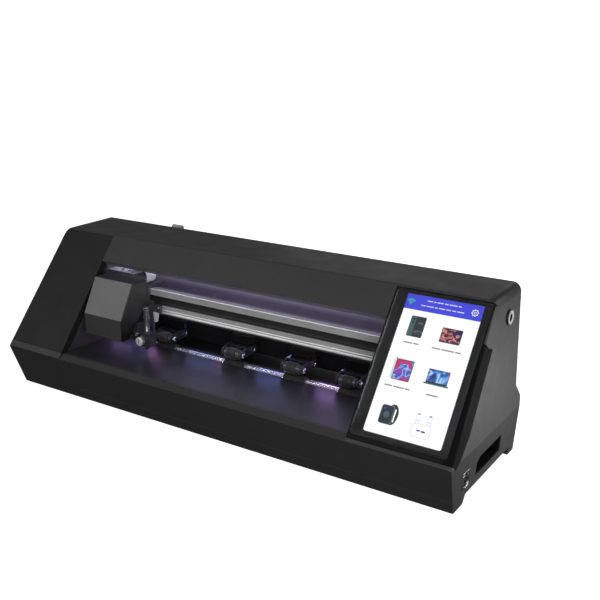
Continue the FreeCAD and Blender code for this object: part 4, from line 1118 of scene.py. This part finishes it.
def underside_screws():
    shape = Shape()
    for x in (20.0, 120.0, 336.0, 436.0):
        for y in (34.0, 102.0):
            pan_screw(shape, (x, y, 8.2), (0, 0, -1), 2.6, 1.2)
    shape.finish("base_screws", "chassis", "screw_black")


jack_details()
port_contacts()
pocket_liner()
rear_screws()
rear_brush()
switch_details()
lever_cap()
underside_screws()


# ---- stage, light and camera
DECK = 46.0
# LED spots on the deck: x, width, power, colour
GLOWS = (
    (80.0, 40.0, 0.0014, (0.40, 0.40, 1.0)), (158.0, 34.0, 0.0015, (0.34, 0.42, 1.0)),
    (180.0, 20.0, 0.0011, (0.62, 0.38, 0.95)), (243.0, 38.0, 0.0022, (0.28, 0.36, 1.0)),
    (302.0, 26.0, 0.0026, (0.62, 0.38, 1.0)), (358.0, 26.0, 0.0026, (0.62, 0.38, 1.0)),
)


def floor():
    n = Nodes("studio_floor")
    n.set(Metallic=0.0, Specular_IOR_Level=0.1, Emission_Strength=0.9)
    n.set(Emission_Color=(1.0, 1.0, 1.0, 1.0))
    n.tint(n.mix(n.drift(3.0, 3.0, 0.0, 1.0), (0.86, 0.86, 0.86), (0.88, 0.88, 0.88)))
    mesh = bpy.data.meshes.new("floor")
    half, bottom = 8.0, -0.0002
    corners = ((-1, -1), (1, -1), (1, 1), (-1, 1))
    mesh.from_pydata([(half * a, half * b, bottom) for a, b in corners], [], [(0, 1, 2, 3)])
    mesh.materials.append(n.material)
    ground = bpy.data.objects.new("floor", mesh)
    into_scene(ground)
    ground.visible_diffuse = False
    ground.visible_glossy = False


def world():
    """A soft studio surround: brighter above, dim below, white where the camera looks past the object."""
    sky = bpy.data.worlds.new("studio")
    sky.use_nodes = True
    tree = sky.node_tree
    tree.nodes.clear()

    def new(kind, **inputs):
        node = tree.nodes.new("ShaderNode" + kind)
        for socket, value in inputs.items():
            node.inputs[socket.replace("_", " ")].default_value = value
        return node
    coords = new("TexCoord")
    split = new("SeparateXYZ")
    height = new("MapRange", From_Min=-0.35, From_Max=0.65, To_Min=0.07, To_Max=0.26)
    around = new("Background")
    seen = new("Background", Strength=1.1, Color=(1.0, 1.0, 1.0, 1.0))
    path = new("LightPath")
    mix = new("MixShader")
    output = new("OutputWorld")
    tree.links.new(coords.outputs["Generated"], split.inputs[0])
    tree.links.new(split.outputs["Z"], height.inputs["Value"])
    tree.links.new(height.outputs["Result"], around.inputs["Strength"])
    tree.links.new(path.outputs["Is Camera Ray"], mix.inputs["Fac"])
    tree.links.new(around.outputs["Background"], mix.inputs[1])
    tree.links.new(seen.outputs["Background"], mix.inputs[2])
    tree.links.new(mix.outputs["Shader"], output.inputs["Surface"])
    bpy.context.scene.world = sky


def area(name, place, target, size, power, colour=(1.0, 1.0, 1.0)):
    light = bpy.data.lights.new(name, "AREA")
    light.shape = "RECTANGLE"
    light.size, light.size_y = size
    light.energy = power
    light.color = colour
    lamp = bpy.data.objects.new(name, light)
    lamp.location = Vector(place)
    lamp.rotation_mode = "QUATERNION"
    lamp.rotation_quaternion = (Vector(target) - Vector(place)).to_track_quat("-Z", "Y")
    lamp.visible_camera = False
    into_scene(lamp)


def lights():
    area("right_softbox", (1.5, 0.9, 0.35), (0.2, 0.0, 0.08), (1.2, 1.4), 11.0)
    area("side_card", (0.44, 0.17, 0.02), (0.22, 0.02, 0.06), (0.16, 0.10), 0.33)
    area("front_right_softbox", (0.75, -0.75, 0.12), (0.15, -0.05, 0.05), (0.4, 0.3), 3.4)
    area("front_left_softbox", (-0.95, -1.3, 0.95), (-0.05, 0.0, 0.08), (0.8, 0.6), 5.3)
    area("back_softbox", (-0.45, 1.6, 0.20), (-0.05, 0.0, 0.09), (1.0, 0.4), 3.6)
    area("top_softbox", (0.85, -1.0, 1.3), (0.0, 0.0, 0.08), (1.0, 0.8), 6.5)
    for x, width, power, colour in GLOWS:
        area("led_glow_%d" % x, at(x, 79.0, 63.0), at(x, 20.0, DECK), (width / 1000.0, 0.006), power, colour)
    area("rose_glow", at(122.0, 60.0, 56.0), at(136.0, 24.0, DECK), (0.020, 0.008), 0.0009,
         (0.85, 0.36, 0.85))
    area("violet_glow", at(74.0, 54.0, 56.0), at(74.0, 18.0, DECK), (0.036, 0.008), 0.0010,
         (0.56, 0.40, 0.90))
    area("under_rail_glow", at(219.0, 58.0, 78.0), at(219.0, 30.0, DECK), (0.29, 0.006), 0.008,
         (0.62, 0.56, 1.0))
    area("cavity_glow", at(219.0, 66.0, 141.0), at(219.0, 92.0, 100.0), (0.29, 0.004), 0.06,
         (0.80, 0.75, 1.0))


def camera():
    data = bpy.data.cameras.new("camera")
    data.lens = 50.98
    data.sensor_width = 36.0
    data.clip_start = 0.01
    data.clip_end = 50.0
    viewer = bpy.data.objects.new("camera", data)
    into_scene(viewer)
    right = Vector((0.84429868, 0.53537274, 0.02314642))
    up = Vector((-0.16606476, 0.22033298, 0.96118462))
    back = Vector((0.50949213, -0.81537071, 0.27493339))
    turn = Matrix((right, up, back)).transposed().to_4x4()
    place = Vector((0.4188, -0.5807, 0.3152))
    viewer.matrix_world = Matrix.Translation(place) @ turn
    bpy.context.scene.camera = viewer


floor()
world()
lights()
camera()
bpy.context.scene.view_settings.view_transform = "Standard"
